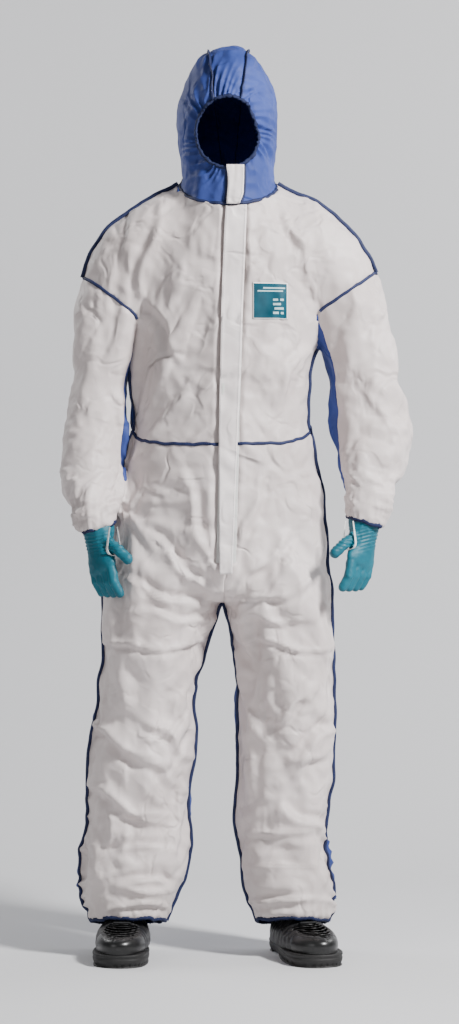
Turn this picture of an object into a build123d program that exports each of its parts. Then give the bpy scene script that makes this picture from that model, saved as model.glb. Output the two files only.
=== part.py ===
"""A hooded chemical protective coverall in its worn shape, with the gloves and safety shoes it is worn with.

Millimetres, +Z up, the front faces -Y and the wearer's left side is +X. The origin is on the floor, under the
middle of the bounding box. Fabric is drawn 2 mm thick, and each panel is one solid between its seams.
"""

import os
from math import cos, pi, radians, sin, sqrt

from build123d import *

os.makedirs("parts", exist_ok=True)

# Driving dimensions
X_MID, Y_MID = -12.7, 38.6  # moves the figure so that the origin is under the middle of its box
WALL = 2.0  # fabric panel thickness
PROUD = 1.5  # how far a binding stands out of the panels
LINING = 2.0  # elastic bands sewn inside the openings
BINDING = 5.0  # width of the blue seam bindings
FAR = 1200.0  # longer than any cut has to be

SIDE_Y = -20.0  # the side, shoulder and inside leg seams lie in this plane
WAIST_Z, WAIST_RISE = 1076.0, 0.24  # waist seam height at the middle, and its slope towards the back
NECK_Z, NECK_RISE = 1582.0, 0.44  # neck seam, the same way
HEM_Z, HEM_RISE = 60.0, -0.20  # trouser hems: the front edge lies on the instep, the back edge is lower
ELASTIC = 14.0  # width of the elastic bands
CLEAR = 0.3  # room left between pieces that would otherwise touch
NECK_GAP = 0.4  # between the hood and the body, which move apart

ZIP_X, ZIP_Z = -4.6, 796.0  # the zip line starts here and runs straight up to the throat
ZIP_LEAN = 0.027  # its sideways slope
ZIP_BACK = 0.0312  # how much the front line leans back
ZIP_FRONT = -150.1  # the front line's Y at the zip's foot
ZIP_LENGTH = 719.0
SLOT_HALF = 7.5  # half the gap between the front panels, where the zip is
TAPE_HALF = 20.0  # half the width of both zip tapes together
TAPE, TAPE_DEPTH = 1.2, 2.6  # the tapes' thickness, and how far they lie behind the outside of the panels
FLAP_OFF, FLAP = 4.6, 1.2  # the storm flap stands off the panels, and its thickness
ADHESIVE = 0.6  # the strip under the flap's free edge
FLAP_GAP = 2.0  # between the storm flap's top and the neck seam

FACE_X, FACE_Z = -1.0, 1671.0
FACE_HALF_WIDE, FACE_HALF_HIGH, FACE_EDGE = 64.0, 73.0, 5.0
HOOD_STRIP, HOOD_STRIP_Z, HOOD_STRIP_TAPER = 28.0, 1753.0, 0.124  # the middle strip of the hood


def place(x, y, z):
    """A point of the figure in the part's frame."""
    return (x + X_MID, y + Y_MID, z)


def facing(x, y, z, normal):
    """A plane through a point of the figure."""
    return Plane(origin=place(x, y, z), z_dir=normal)


def level(z, x, half, front, back, square=2.0):
    """A horizontal cross-section: its height, middle, half width, front and back."""
    return (place(x, (front + back) / 2, z), (1, 0, 0), (0, 0, 1), half, (back - front) / 2, square)


def across(x, y, z, run, half, deep):
    """A cross-section of a sleeve: its middle, the direction (x, z) it runs in, and its half sizes."""
    length = sqrt(run[0] ** 2 + run[1] ** 2)
    along = (run[0] / length, 0, run[1] / length)
    return (place(x, y, z), (-along[2], 0, along[0]), along, half, deep, 2.0)


# Body and hood: height, middle, half width, front, back, squareness
BODY = [
    (728, -9, 165, -112, 108, 2.2),
    (745, -10, 186, -130, 118, 2.2),
    (765, -11, 205, -146, 126, 2.2),
    (790, -12, 218, -150.3, 131, 2.2),
    (840, -12, 222, -148.8, 135, 2.2),
    (910, -10, 214, -146.6, 136, 2.2),
    (985, -8, 202, -144.2, 131, 2.2),
    (1060, -8, 185, -141.9, 124, 2.2),
    (1150, -7, 178, -139.1, 121, 2.2),
    (1330, -1, 190, -133.4, 125, 2.2),
    (1420, 0, 176, -130.6, 112, 2.2),
    (1480, 0, 140, -128.8, 99, 2.2),
    (1530, 0, 106, -127.2, 90, 2.0),
    (1580, 0, 94, -125.6, 88, 2.0),
    (1630, -1, 99, -123.5, 108, 2.0),
    (1690, -2, 103, -121.5, 124, 2.0),
    (1745, -2, 100, -119, 127, 2.0),
    (1795, -1, 85, -112, 116, 2.0),
    (1832, -1, 62, -92, 92, 2.0),
    (1852, -1, 38, -58, 60, 2.0),
    (1860, -1, 16, -26, 28, 2.0),
]
CROTCH_Z, CROWN_Z, CROWN = 728, 1740, 120.0  # the body's lowest section, and where the crown starts to close
HEAD_Z = 1420  # the hood is cut from the sections from here up
RIGHT_LEG = [
    level(850, -106, 92, -124, 108),
    level(800, -120, 106, -144, 126),
    level(745, -135, 115, -147, 127),
    level(700, -142, 114, -143, 124),
    level(500, -166, 103, -118, 98),
    level(400, -178, 106, -113, 96),
    level(300, -184, 107, -110, 98),
    level(200, -194, 112, -112, 94),
    level(130, -203, 102, -114, 84),
    level(85, -204, 84, -110, 72),
    level(40, -205, 72, -106, 64),
]
LEFT_LEG = [
    level(850, 92, 88, -124, 108),
    level(800, 101, 102, -144, 126),
    level(745, 109, 114, -147, 127),
    level(700, 113, 115, -143, 124),
    level(500, 123, 103, -118, 98),
    level(400, 125, 99, -113, 96),
    level(300, 116, 97, -110, 98),
    level(200, 117, 97, -112, 94),
    level(130, 128, 94, -114, 84),
    level(85, 131, 80, -110, 72),
    level(40, 132, 70, -106, 64),
]
RIGHT_SLEEVE = [
    across(-78, -12, 1464, (-1, -0.12), 106, 88),
    across(-138, -10, 1443, (-1, -0.36), 106, 90),
    across(-190, -6, 1410, (-1, -0.75), 98, 86),
    across(-232, -2, 1350, (-0.55, -1), 86, 80),
    across(-261, 0, 1262, (-0.2, -1), 65, 76),
    across(-280, -14, 1095, (-0.05, -1), 66, 70),
    across(-283, -36, 1020, (-0.02, -1), 65, 68),
    across(-284, -60, 960, (0.05, -1), 63, 62),
    across(-278, -77, 922, (0.15, -1), 56, 54),
    across(-270, -88, 893, (0.25, -1), 47, 44),
    across(-262, -94, 868, (0.28, -1), 42, 40),
]
LEFT_SLEEVE = [
    across(78, -12, 1464, (1, -0.12), 106, 88),
    across(136, -10, 1443, (1, -0.36), 106, 90),
    across(188, -6, 1410, (1, -0.75), 98, 86),
    across(232, -2, 1350, (0.55, -1), 86, 80),
    across(267, 0, 1262, (0.25, -1), 72, 76),
    across(291, -14, 1095, (0.03, -1), 82, 72),
    across(296, -36, 1025, (-0.05, -1), 73, 68),
    across(288, -60, 970, (-0.1, -1), 61, 60),
    across(287, -77, 934, (-0.15, -1), 54, 52),
    across(282, -88, 905, (-0.25, -1), 46, 43),
    across(274, -94, 880, (-0.28, -1), 42, 40),
]

SLEEVES = {"right": RIGHT_SLEEVE, "left": LEFT_SLEEVE}

# Seam planes
NECK_UP = (0, -NECK_RISE, 1)
WAIST_UP = (0, -WAIST_RISE, 1)
HEM_UP = (0, -HEM_RISE, 1)
ARMHOLE = {"right": ((-194, 1317), (-0.584, 0, -0.812)), "left": ((194, 1320), (0.570, 0, -0.821))}
SLEEVE_AXIS = {"right": (-261, 0, 1262), "left": (267, 0, 1262)}
UNDERARM = {"right": (0.6, 0.8, -0.09), "left": (-0.6, 0.8, -0.09)}  # faces the blue side of each sleeve
CUFF = {"right": ((-262, -94, 868), (-0.28, 0, 1)), "left": ((274, -94, 880), (0.28, 0, 1))}
SIDES = {"right": -1, "left": 1}


def outline(half_wide, half_deep, square, count=12):
    """Points round a rounded section: 2 is an ellipse, and more is squarer."""
    points = []
    for i in range(count):
        c, s = cos(2 * pi * i / count), sin(2 * pi * i / count)
        x = half_wide * abs(c) ** (2 / square) * (1 if c >= 0 else -1)
        y = half_deep * abs(s) ** (2 / square) * (1 if s >= 0 else -1)
        points.append((x, y))
    return points


def ring(points):
    """A closed curve through points, evenly paced, so that a loft through many such curves stays light."""
    corners = [Vector(x, y, 0) for x, y in points]
    return Edge.make_spline(corners, periodic=True, parameters=[float(i) for i in range(len(points) + 1)])


def limb(sections, grow):
    """A smooth solid through cross-sections, grown outwards or, below 0, inwards."""
    with BuildPart() as solid:
        for origin, x_dir, z_dir, wide, deep, square in sections:
            with BuildSketch(Plane(origin=origin, x_dir=x_dir, z_dir=z_dir)):
                with BuildLine():
                    add(ring(outline(wide + grow, deep + grow, square)))
                make_face()
        loft()
    return solid.part


def body_sections(grow, lowest=CROTCH_Z):
    """The body's sections, with the crown raised and the crotch lowered by as much as the sides grow."""
    sections = []
    for z, *rest in [section for section in BODY if section[0] >= lowest]:
        rise = max(0.0, (z - CROWN_Z) / CROWN) - (1 if z == CROTCH_Z else 0)
        sections.append(level(z + grow * rise, *rest))
    return sections


def head(grow):
    """The filled hood, neck and shoulders alone, from which the hood is cut."""
    return limb(body_sections(grow, HEAD_Z), grow)


def figure(grow):
    """The whole filled suit: body and hood, two legs and two sleeves, as one solid."""
    with BuildPart() as whole:
        for sections in (body_sections(grow), RIGHT_LEG, LEFT_LEG, RIGHT_SLEEVE, LEFT_SLEEVE):
            add(limb(sections, grow))
    return whole.part


def minus(solid, *tools):
    with BuildPart() as rest:
        add(solid)
        for tool in tools:
            add(tool, mode=Mode.SUBTRACT)
    return rest.part


def common(solid, tool):
    with BuildPart() as both:
        add(solid)
        add(tool, mode=Mode.INTERSECT)
    return both.part


def keep(solid, *planes):
    """What lies on the side that every plane faces."""
    with BuildPart() as piece:
        add(solid)
        for plane in planes:
            split(bisect_by=plane, keep=Keep.TOP)
    return piece.part


def flip(plane):
    return Plane(origin=plane.origin, z_dir=-plane.z_dir)


def band(solid, plane, low, high):
    """What lies between two heights over a plane."""
    return keep(solid, plane.offset(low), flip(plane.offset(high)))


def block(low, high):
    """A box between two corners of the figure."""
    size = [b - a for a, b in zip(low, high)]
    middle = [(a + b) / 2 for a, b in zip(low, high)]
    with BuildPart() as solid:
        with Locations(place(*middle)):
            Box(*size)
    return solid.part


def save(name, solid):
    solid.label = name
    export_step(solid, f"parts/{name}.step")


def zip_plane(offset, lean=ZIP_LEAN):
    """Faces +X and runs up the zip line, this far to the wearer's left of it."""
    return facing(ZIP_X + offset, 0, ZIP_Z, (1, 0, -lean))


NECK = facing(0, 0, NECK_Z, NECK_UP)
WAIST = facing(0, 0, WAIST_Z, WAIST_UP)
HEM = facing(0, 0, HEM_Z, HEM_UP)
BACK = facing(0, SIDE_Y, 0, (0, 1, 0))
FRONT = facing(0, SIDE_Y, 0, (0, -1, 0))
CHEST = facing(0, -60, 0, (0, -1, 0))  # in front of this is only the front of the body

SOLID = figure(0)
CORE = figure(-WALL)
INNER_CORE = figure(-WALL - LINING)
OUTSIDE = figure(PROUD)
SHELL = minus(SOLID, CORE)
SKIN = minus(OUTSIDE, SOLID)
INSIDE = minus(CORE, INNER_CORE)


def sleeve_zone(side):
    """Everything of one sleeve beyond its armhole seam."""
    (x, z), normal = ARMHOLE[side]
    return keep(limb(SLEEVES[side], PROUD + CLEAR), facing(x, 0, z, normal))


ZONES = {side: sleeve_zone(side) for side in SIDES}


def cuff_plane(side):
    (x, y, z), up = CUFF[side]
    return facing(x, y, z, up).offset(3)


def face_ring(out, into):
    """A tube along Y round the face opening: how far it reaches out of and into the opening's edge."""
    with BuildPart() as tube:
        with BuildSketch(Plane(origin=place(FACE_X, -60, FACE_Z), x_dir=(1, 0, 0), z_dir=(0, -1, 0))):
            Ellipse(FACE_HALF_WIDE + out, FACE_HALF_HIGH + out)
            if into:
                Ellipse(FACE_HALF_WIDE - into, FACE_HALF_HIGH - into, mode=Mode.SUBTRACT)
        extrude(amount=FAR)
    return tube.part


def hood_strip(offset_sign, width=0.0):
    """The plane of one hood seam, facing outwards, moved out by a width."""
    return facing(
        FACE_X + offset_sign * (HOOD_STRIP + width), 0, HOOD_STRIP_Z, (offset_sign, 0, -HOOD_STRIP_TAPER)
    )


def make_hood():
    """Three hood panels, two seam ridges and the elastic round the face."""
    filled, outside = head(0), head(PROUD)
    hood = minus(keep(filled, NECK.offset(NECK_GAP / 2)), head(-WALL), face_ring(0, 0))
    chin = block((-60, -200, 1400), (60, -20, FACE_Z))
    crown = minus(hood, chin)
    save("hood_centre", keep(crown, flip(hood_strip(-1)), flip(hood_strip(1))))
    middle = facing(ZIP_X + ZIP_LEAN * (FACE_Z - ZIP_Z), 0, FACE_Z, (1, 0, -ZIP_LEAN))
    skin = minus(keep(outside, NECK.offset(NECK_GAP / 2)), filled, face_ring(0, 0), chin)
    for side, sign in SIDES.items():
        half = keep(hood, middle if sign > 0 else flip(middle))
        centre = keep(minus(half, chin), flip(hood_strip(sign)))
        save(f"hood_{side}", minus(half, centre))
        save(f"hood_seam_{side}", keep(skin, hood_strip(sign, -1.5), flip(hood_strip(sign, 1.5))))
    edge = minus(common(outside, face_ring(0, FACE_EDGE)), head(-WALL - LINING))
    save("face_elastic", edge)


def make_body():
    """The white front halves and the blue back, from the neck seam to the waist seam."""
    body = minus(keep(SHELL, flip(NECK.offset(-NECK_GAP / 2)), WAIST), *ZONES.values())
    save("body_back", keep(body, BACK))
    save("body_front_right", keep(body, FRONT, flip(zip_plane(-SLOT_HALF))))
    save("body_front_left", keep(body, FRONT, zip_plane(SLOT_HALF)))


def make_trousers():
    """Four trouser panels. The fly is open between the waist seam and the zip's foot."""
    trousers = minus(keep(SHELL, flip(WAIST), HEM), *ZONES.values())
    fly = common(trousers, block((-60, -200, ZIP_Z + 4), (80, -60, WAIST_Z + 60)))
    fly = keep(fly, zip_plane(-SLOT_HALF), flip(zip_plane(SLOT_HALF)))
    middle = zip_plane(0)
    for side, sign in SIDES.items():
        half = keep(trousers, middle if sign > 0 else flip(middle))
        save(f"trouser_back_{side}", keep(half, BACK))
        save(f"trouser_front_{side}", minus(keep(half, FRONT), fly))


def make_sleeves():
    """Each sleeve is a white outer panel and a blue panel under the arm."""
    for side in SIDES:
        sleeve = keep(common(SHELL, ZONES[side]), cuff_plane(side))
        under = facing(*SLEEVE_AXIS[side], UNDERARM[side])
        save(f"sleeve_outer_{side}", keep(sleeve, flip(under)))
        save(f"sleeve_under_{side}", keep(sleeve, under))


def make_bindings():
    """Blue bindings that stand out of the panels along the seams."""
    half = BINDING / 2
    body = minus(SKIN, *ZONES.values())
    save("neck_binding", band(body, NECK, -NECK_GAP / 2 - BINDING, -NECK_GAP / 2))
    torso = keep(body, flip(NECK.offset(-NECK_GAP / 2 - BINDING)), WAIST.offset(half))
    legs = keep(body, flip(WAIST.offset(-half)), HEM)
    waist = keep(band(body, WAIST, -half, half), FRONT)
    for side, sign in SIDES.items():
        outward = facing(sign * 60, 0, 0, (sign, 0, 0))
        (x, z), normal = ARMHOLE[side]
        seam = facing(x, 0, z, normal)
        armhole = band(torso, seam, -BINDING, 0)
        save(f"armhole_binding_{side}", keep(armhole, facing(x, 0, 0, (sign, 0, 0))))
        seams = keep(band(torso, BACK, -half, half), outward)
        save(f"shoulder_binding_{side}", keep(seams, flip(seam.offset(-BINDING))))
        save(f"side_binding_{side}", keep(seams, seam))
        edge = zip_plane(sign * (SLOT_HALF + 16))
        save(f"waist_binding_{side}", keep(waist, edge if sign > 0 else flip(edge)))
        leg = keep(band(legs, BACK, -half, half), zip_plane(0) if sign > 0 else flip(zip_plane(0)))
        save(f"leg_binding_{side}", leg)


def make_elastics():
    """Elastic bands inside the cuffs, the hems and the back of the waist."""
    legs = keep(INSIDE, facing(0, 0, 400, (0, 0, -1)))
    hems = band(legs, HEM, 0, ELASTIC)
    for side, sign in SIDES.items():
        half = facing(0, 0, 0, (sign, 0, 0))
        save(f"ankle_elastic_{side}", keep(hems, half))
        cuff = band(limb(SLEEVES[side], -WALL), cuff_plane(side), 0, ELASTIC)
        save(f"cuff_elastic_{side}", minus(cuff, limb(SLEEVES[side], -WALL - LINING)))
    waist = minus(keep(band(INSIDE, WAIST, -ELASTIC / 2, ELASTIC / 2), BACK), *ZONES.values())
    save("waist_elastic", waist)


def along_zip(distance):
    """A plane across the zip line, facing up it, this far above its foot."""
    foot = Plane(origin=place(ZIP_X, ZIP_FRONT, ZIP_Z), x_dir=(1, 0, 0), z_dir=(ZIP_LEAN, ZIP_BACK, 1))
    return foot.offset(distance)


def zip_bar(start, end, x_low, x_high, depth_low, depth_high):
    """A straight bar along the zip line. Depths are measured out of the front line, so below 0 is inside."""
    with BuildPart() as bar:
        with BuildSketch(along_zip(start)):
            with Locations(((x_low + x_high) / 2, -(depth_low + depth_high) / 2)):
                Rectangle(x_high - x_low, depth_high - depth_low)
        extrude(amount=end - start)
    return bar.part


TEETH_OUT, TEETH_IN = -2.2, -4.4  # the teeth's front and back
TEETH_NEAR, TEETH_FAR = 0.8, 2.8  # from the zip line
SLIDER = 16.0  # its length
SLIDER_HALF = 5.0
PULL_DROP = 38.0  # the pull's foot hangs this far below the slider's top
STOP = 5.0
FRONT_PLATE, BACK_PLATE = (-1.6, -0.6), (-7.4, -6.4)  # depths of the slider's two plates
BRIDGE, LUG = (-6.6, -1.4), (-0.8, 1.2)  # depths of what joins the plates, and of the pull's eye
PULL, PULL_HALF, PULL_HOLE_HALF = (0.4, 1.1), 3.0, 1.2  # depths, half width, half width of its hole


def make_zip():
    """Two tapes with their rows of teeth, two end stops, and the slider with its pull."""
    tapes = minus(figure(-TAPE_DEPTH), figure(-TAPE_DEPTH - TAPE))
    tapes = keep(tapes, CHEST, along_zip(0), flip(along_zip(ZIP_LENGTH)))
    for side, sign in SIDES.items():
        near, far = zip_plane(sign * (TEETH_FAR + CLEAR)), zip_plane(sign * TAPE_HALF)
        tape = keep(tapes, near, flip(far)) if sign > 0 else keep(tapes, flip(near), far)
        save(f"zip_tape_{side}", tape)
        x_low, x_high = sorted((sign * TEETH_NEAR, sign * TEETH_FAR))
        save(f"zip_teeth_{side}", zip_bar(STOP, ZIP_LENGTH - STOP, x_low, x_high, TEETH_IN, TEETH_OUT))
    for name, foot in (("bottom", 0), ("top", ZIP_LENGTH - STOP)):
        save(f"zip_{name}_stop", zip_bar(foot, foot + STOP, -TEETH_FAR, TEETH_FAR, TEETH_IN, TEETH_OUT))
    top = ZIP_LENGTH - STOP - CLEAR
    with BuildPart() as slider:
        for plate in (FRONT_PLATE, BACK_PLATE):
            add(zip_bar(top - SLIDER, top, -SLIDER_HALF, SLIDER_HALF, *plate))
        add(zip_bar(top - SLIDER * 0.4, top, -0.5, 0.5, *BRIDGE))
        add(zip_bar(top - SLIDER * 0.7, top - SLIDER * 0.3, -1, 1, *LUG))
    save("zip_slider", slider.part)
    with BuildPart() as pull:
        add(zip_bar(top - PULL_DROP, top - SLIDER * 0.2, -PULL_HALF, PULL_HALF, *PULL))
        hole = zip_bar(top - SLIDER * 0.72, top - SLIDER * 0.28, -PULL_HOLE_HALF, PULL_HOLE_HALF, *LUG)
        add(hole, mode=Mode.SUBTRACT)
    save("zip_pull", pull.part)


# The storm flap's edges: height along the zip, and how far it reaches to the wearer's right
FLAP_EDGE = [(-16, 13), (64, 16), (244, 22), (544, 24), (704, 22), (734, 19), (784, 17), (808, 23)]
FLAP_HINGE_LOW, FLAP_HINGE_HIGH = 13.0, 24.0  # and to the wearer's left, where it is sewn on
STRIP_FAR, STRIP_NEAR = -18.0, -11.0  # the adhesive strip's sides, measured from the zip line
STRIP_LOW, STRIP_HIGH = 880.0, 1480.0  # and its ends


def make_flaps():
    """The storm flap over the zip, its adhesive strip, and the chin flap above it on the hood."""
    foot, top = FLAP_EDGE[0][0], FLAP_EDGE[-1][0]
    with BuildPart() as cutter:
        with BuildSketch(Plane(origin=place(ZIP_X, -60, ZIP_Z), x_dir=(1, 0, 0), z_dir=(0, -1, 0))):
            with BuildLine():
                left = [(ZIP_LEAN * z - x, z) for z, x in FLAP_EDGE]
                low, high = (FLAP_HINGE_LOW + ZIP_LEAN * foot, foot), (FLAP_HINGE_HIGH + ZIP_LEAN * top, top)
                Polyline(*left, high, low, close=True)
            make_face()
        extrude(amount=FAR)
    panel = figure(FLAP_OFF)
    flap = minus(common(figure(FLAP_OFF + FLAP), cutter.part), panel)
    save("storm_flap", keep(flap, flip(NECK.offset(-FLAP_GAP))))
    save("chin_flap", keep(flap, NECK.offset(NECK_GAP / 2)))
    strip = minus(common(panel, cutter.part), figure(FLAP_OFF - ADHESIVE))
    strip = keep(strip, zip_plane(STRIP_FAR), flip(zip_plane(STRIP_NEAR)), facing(0, 0, STRIP_LOW, (0, 0, 1)))
    save("flap_tape", keep(strip, facing(0, 0, STRIP_HIGH, (0, 0, -1))))


LABEL = ((49, -200, 1293), (120, -60, 1367))  # its corners, deep enough to pass through the chest


def make_label():
    """The square label on the wearer's left breast, following the chest."""
    save("chest_label", common(SKIN, block(*LABEL)))


# A glove, measured from the middle of the sleeve's end: inwards, backwards, up
DRAW = (0.275, -0.26, -0.925)  # the way a glove pulls off, along the forearm
KNUCKLE_LINE = (0.70, -0.71, 0)  # from the little finger to the thumb side
PALM = [(-60, 32, 32), (0, 32, 32)]  # distance along the draw, half sizes: the straight gauntlet
HAND = [((2, -4, -24), 32, 25), ((3, -8, -46), 31.5, 21), ((9, -21, -76), 38, 15), ((11, -24, -88), 30, 9)]
GLOVE_WALL = 1.8
FINGER_AT = (-28, -10, 9, 27)
FINGER_BEND, FINGER_TIP = (4.5, -4.5, -28), (11.5, 2, -22)
FINGER_R = (9.2, 10.3, 10.6, 10.0)
FINGER_TAPER = 0.93
THUMB = [(18, -24, -22), (42, -44, -40), (60, -52, -57)]
THUMB_R = 11.0


def hand_point(side, inwards, back, up):
    x, y, z = CUFF[side][0]
    return place(x - SIDES[side] * inwards, y + back, z + up)


def glove_hull(side, inset):
    """The filled gauntlet and palm of a glove, with its sides this far in."""
    draw = (-SIDES[side] * DRAW[0], DRAW[1], DRAW[2])
    line = (-SIDES[side] * KNUCKLE_LINE[0], KNUCKLE_LINE[1], 0)
    with BuildPart() as solid:
        for distance, wide, deep in PALM:
            middle = hand_point(side, *(distance * c for c in DRAW))
            with BuildSketch(Plane(origin=middle, x_dir=line, z_dir=draw)):
                Ellipse(wide - inset, deep - inset)
        loft()
        foot = hand_point(side, 0, 0, 0)
        with BuildSketch(Plane(origin=foot, x_dir=line, z_dir=draw)):
            Ellipse(PALM[-1][1] - inset, PALM[-1][2] - inset)
        for middle, wide, deep in HAND:
            with BuildSketch(Plane(origin=hand_point(side, *middle), x_dir=line, z_dir=draw)):
                Ellipse(wide - inset, deep - inset)
        loft()
    return solid.part


def capsule(start, end, radius):
    """A round bar with round ends."""
    with BuildPart() as bar:
        run = Vector(*end) - Vector(*start)
        with BuildSketch(Plane(origin=start, z_dir=run)):
            Circle(radius)
        extrude(amount=run.length)
        with Locations(start, end):
            Sphere(radius)
    return bar.part


def glove_form(side, grow):
    """The filled glove: gauntlet and palm, four bent fingers and a thumb."""
    with BuildPart() as form:
        add(glove_hull(side, -grow))
        for at, radius in zip(FINGER_AT, FINGER_R):
            knuckle = [HAND[2][0][i] + at * KNUCKLE_LINE[i] for i in range(3)]
            bend = [a + b for a, b in zip(knuckle, FINGER_BEND)]
            tip = [a + b for a, b in zip(bend, FINGER_TIP)]
            add(capsule(hand_point(side, *knuckle), hand_point(side, *bend), radius + grow))
            add(capsule(hand_point(side, *bend), hand_point(side, *tip), radius * FINGER_TAPER + grow))
        for start, end in zip(THUMB, THUMB[1:]):
            add(capsule(hand_point(side, *start), hand_point(side, *end), THUMB_R + grow))
    return form.part


def make_glove(side):
    """A glove with a hollow gauntlet and palm."""
    save(f"glove_{side}", minus(glove_form(side, 0), glove_hull(side, GLOVE_WALL)))


# A thumb loop: a flat elastic band that hangs from the cuff's inner front edge and goes round the thumb
LOOP_TOP, LOOP_DROP, LOOP_HALF = (28.6, -33.6, 7), 39.0, 19.5
LOOP_WIDE, LOOP_THICK = 7.0, 1.6


def make_loop(side):
    start = hand_point(side, *LOOP_TOP)
    face = (-SIDES[side] * 0.62, -0.78, 0)
    run = (0.78, -SIDES[side] * 0.62, 0)
    with BuildPart() as loop:
        with BuildSketch(Plane(origin=start, x_dir=run, z_dir=face)):
            with BuildLine():
                Polyline((-LOOP_HALF, 0), (-LOOP_HALF, -LOOP_DROP))
                RadiusArc((-LOOP_HALF, -LOOP_DROP), (LOOP_HALF, -LOOP_DROP), -LOOP_HALF)
                Polyline((LOOP_HALF, -LOOP_DROP), (LOOP_HALF, 0), (-LOOP_HALF, 0))
            make_face()
            with BuildLine():
                inner = LOOP_HALF - LOOP_THICK
                Polyline((-inner, 0), (-inner, -LOOP_DROP))
                RadiusArc((-inner, -LOOP_DROP), (inner, -LOOP_DROP), -inner)
                Polyline((inner, -LOOP_DROP), (inner, 0), (-inner, 0))
            make_face(mode=Mode.SUBTRACT)
        extrude(amount=LOOP_WIDE)
    save(f"thumb_loop_{side}", minus(loop.part, glove_form(side, CLEAR)))


# A shoe, with its toe towards -Y and its ankle over the origin
SOLE = [(-213, 8), (-196, 42), (-150, 56), (-95, 54), (-45, 44), (10, 40), (45, 35), (61, 10)]
SOLE_TOP, ARCH = 26.0, 5.0
SHOE = [
    (26, 53, -210, 60),
    (42, 54, -211, 60),
    (56, 50, -201, 59),
    (64, 44, -174, 58),
    (70, 40, -128, 57),
    (80, 38, -97, 57),
    (95, 37, -80, 56),
    (112, 35, -69, 55),
    (128, 34, -62, 54),
]
SHOE_WALL = 4.0
TOE_CAP, TOE_CAP_BACK = 1.4, -148.0
SHOE_AT = {"right": (-211, 0, -2), "left": (131, 0, 16)}  # X, Y and the degrees that the toe turns out
LACES, LACE_R = 4, 2.2


def shoe_plane(side, z=0.0):
    x, y, turn = SHOE_AT[side]
    angle = radians(turn)
    return Plane(origin=place(x, y, z), x_dir=(cos(angle), sin(angle), 0), z_dir=(0, 0, 1))


def shoe_hull(side, grow):
    """The filled upper of a shoe, from the sole to the collar."""
    with BuildPart() as solid:
        for z, half, front, back in SHOE:
            with BuildSketch(shoe_plane(side, z)):
                with BuildLine():
                    points = outline(half + grow, (back - front) / 2 + grow, 2.3)
                    add(ring([(x, y + (front + back) / 2) for x, y in points]))
                make_face()
        loft()
    return solid.part


def instep(z):
    """Where the front of the shoe is at a height."""
    for (z_low, _, front_low, _), (z_high, _, front_high, _) in zip(SHOE, SHOE[1:]):
        if z_low <= z <= z_high:
            return front_low + (front_high - front_low) * (z - z_low) / (z_high - z_low)


def sole_outline():
    """The sole's edge, from the toe round the outside to the heel and back."""
    out = [(half, y) for y, half in SOLE]
    return out + [(-half, y) for half, y in reversed(out)]


def make_shoe(side):
    """A rubber sole with a heel, a hollow upper, a toe cap and the laces."""
    with BuildPart() as sole:
        with BuildSketch(shoe_plane(side)):
            with BuildLine():
                Spline(*sole_outline(), periodic=True)
            make_face()
        extrude(amount=SOLE_TOP)
        with BuildSketch(shoe_plane(side)):
            with Locations((0, -12)):
                Rectangle(200, 52)
        extrude(amount=ARCH, mode=Mode.SUBTRACT)
    save(f"shoe_sole_{side}", sole.part)
    hull = shoe_hull(side, 0)
    floor = facing(0, 0, SOLE_TOP + 3, (0, 0, 1))
    save(f"shoe_upper_{side}", minus(hull, keep(shoe_hull(side, -SHOE_WALL), floor)))
    toe = Plane(origin=(shoe_plane(side) * Pos(0, TOE_CAP_BACK, 0)).position, z_dir=-shoe_plane(side).y_dir)
    save(f"shoe_toe_cap_{side}", keep(minus(shoe_hull(side, TOE_CAP), hull), toe))
    rows = []
    for i in range(LACES):
        z = 76 + i * 11
        y = instep(z) - LACE_R * 0.4
        ends = [(shoe_plane(side) * Pos(x, y, z)).position for x in (-16, 16)]
        rows.append(capsule(tuple(ends[0]), tuple(ends[1]), LACE_R))
    with BuildPart() as laces:
        for row in rows:
            add(row)
        add(hull, mode=Mode.SUBTRACT)
    save(f"shoe_laces_{side}", laces.part)


make_hood()
make_body()
make_trousers()
make_sleeves()
make_bindings()
make_elastics()
make_zip()
make_flaps()
make_label()
for name in SIDES:
    make_glove(name)
    make_loop(name)
    make_shoe(name)
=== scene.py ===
"""A hooded chemical protective coverall with its gloves and safety shoes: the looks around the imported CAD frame.

The coverall is tailored in five steps: the CAD panels are filled to one solid, its skin is draped over a
smaller copy by cloth simulation, the skin is cut along the seams that the CAD panels share, gathers and
creases are pressed in, and each panel becomes a piece with a piping along its seams.
"""

import math

import bmesh
import bpy
import numpy as np
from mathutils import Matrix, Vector, noise
from mathutils.bvhtree import BVHTree


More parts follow.
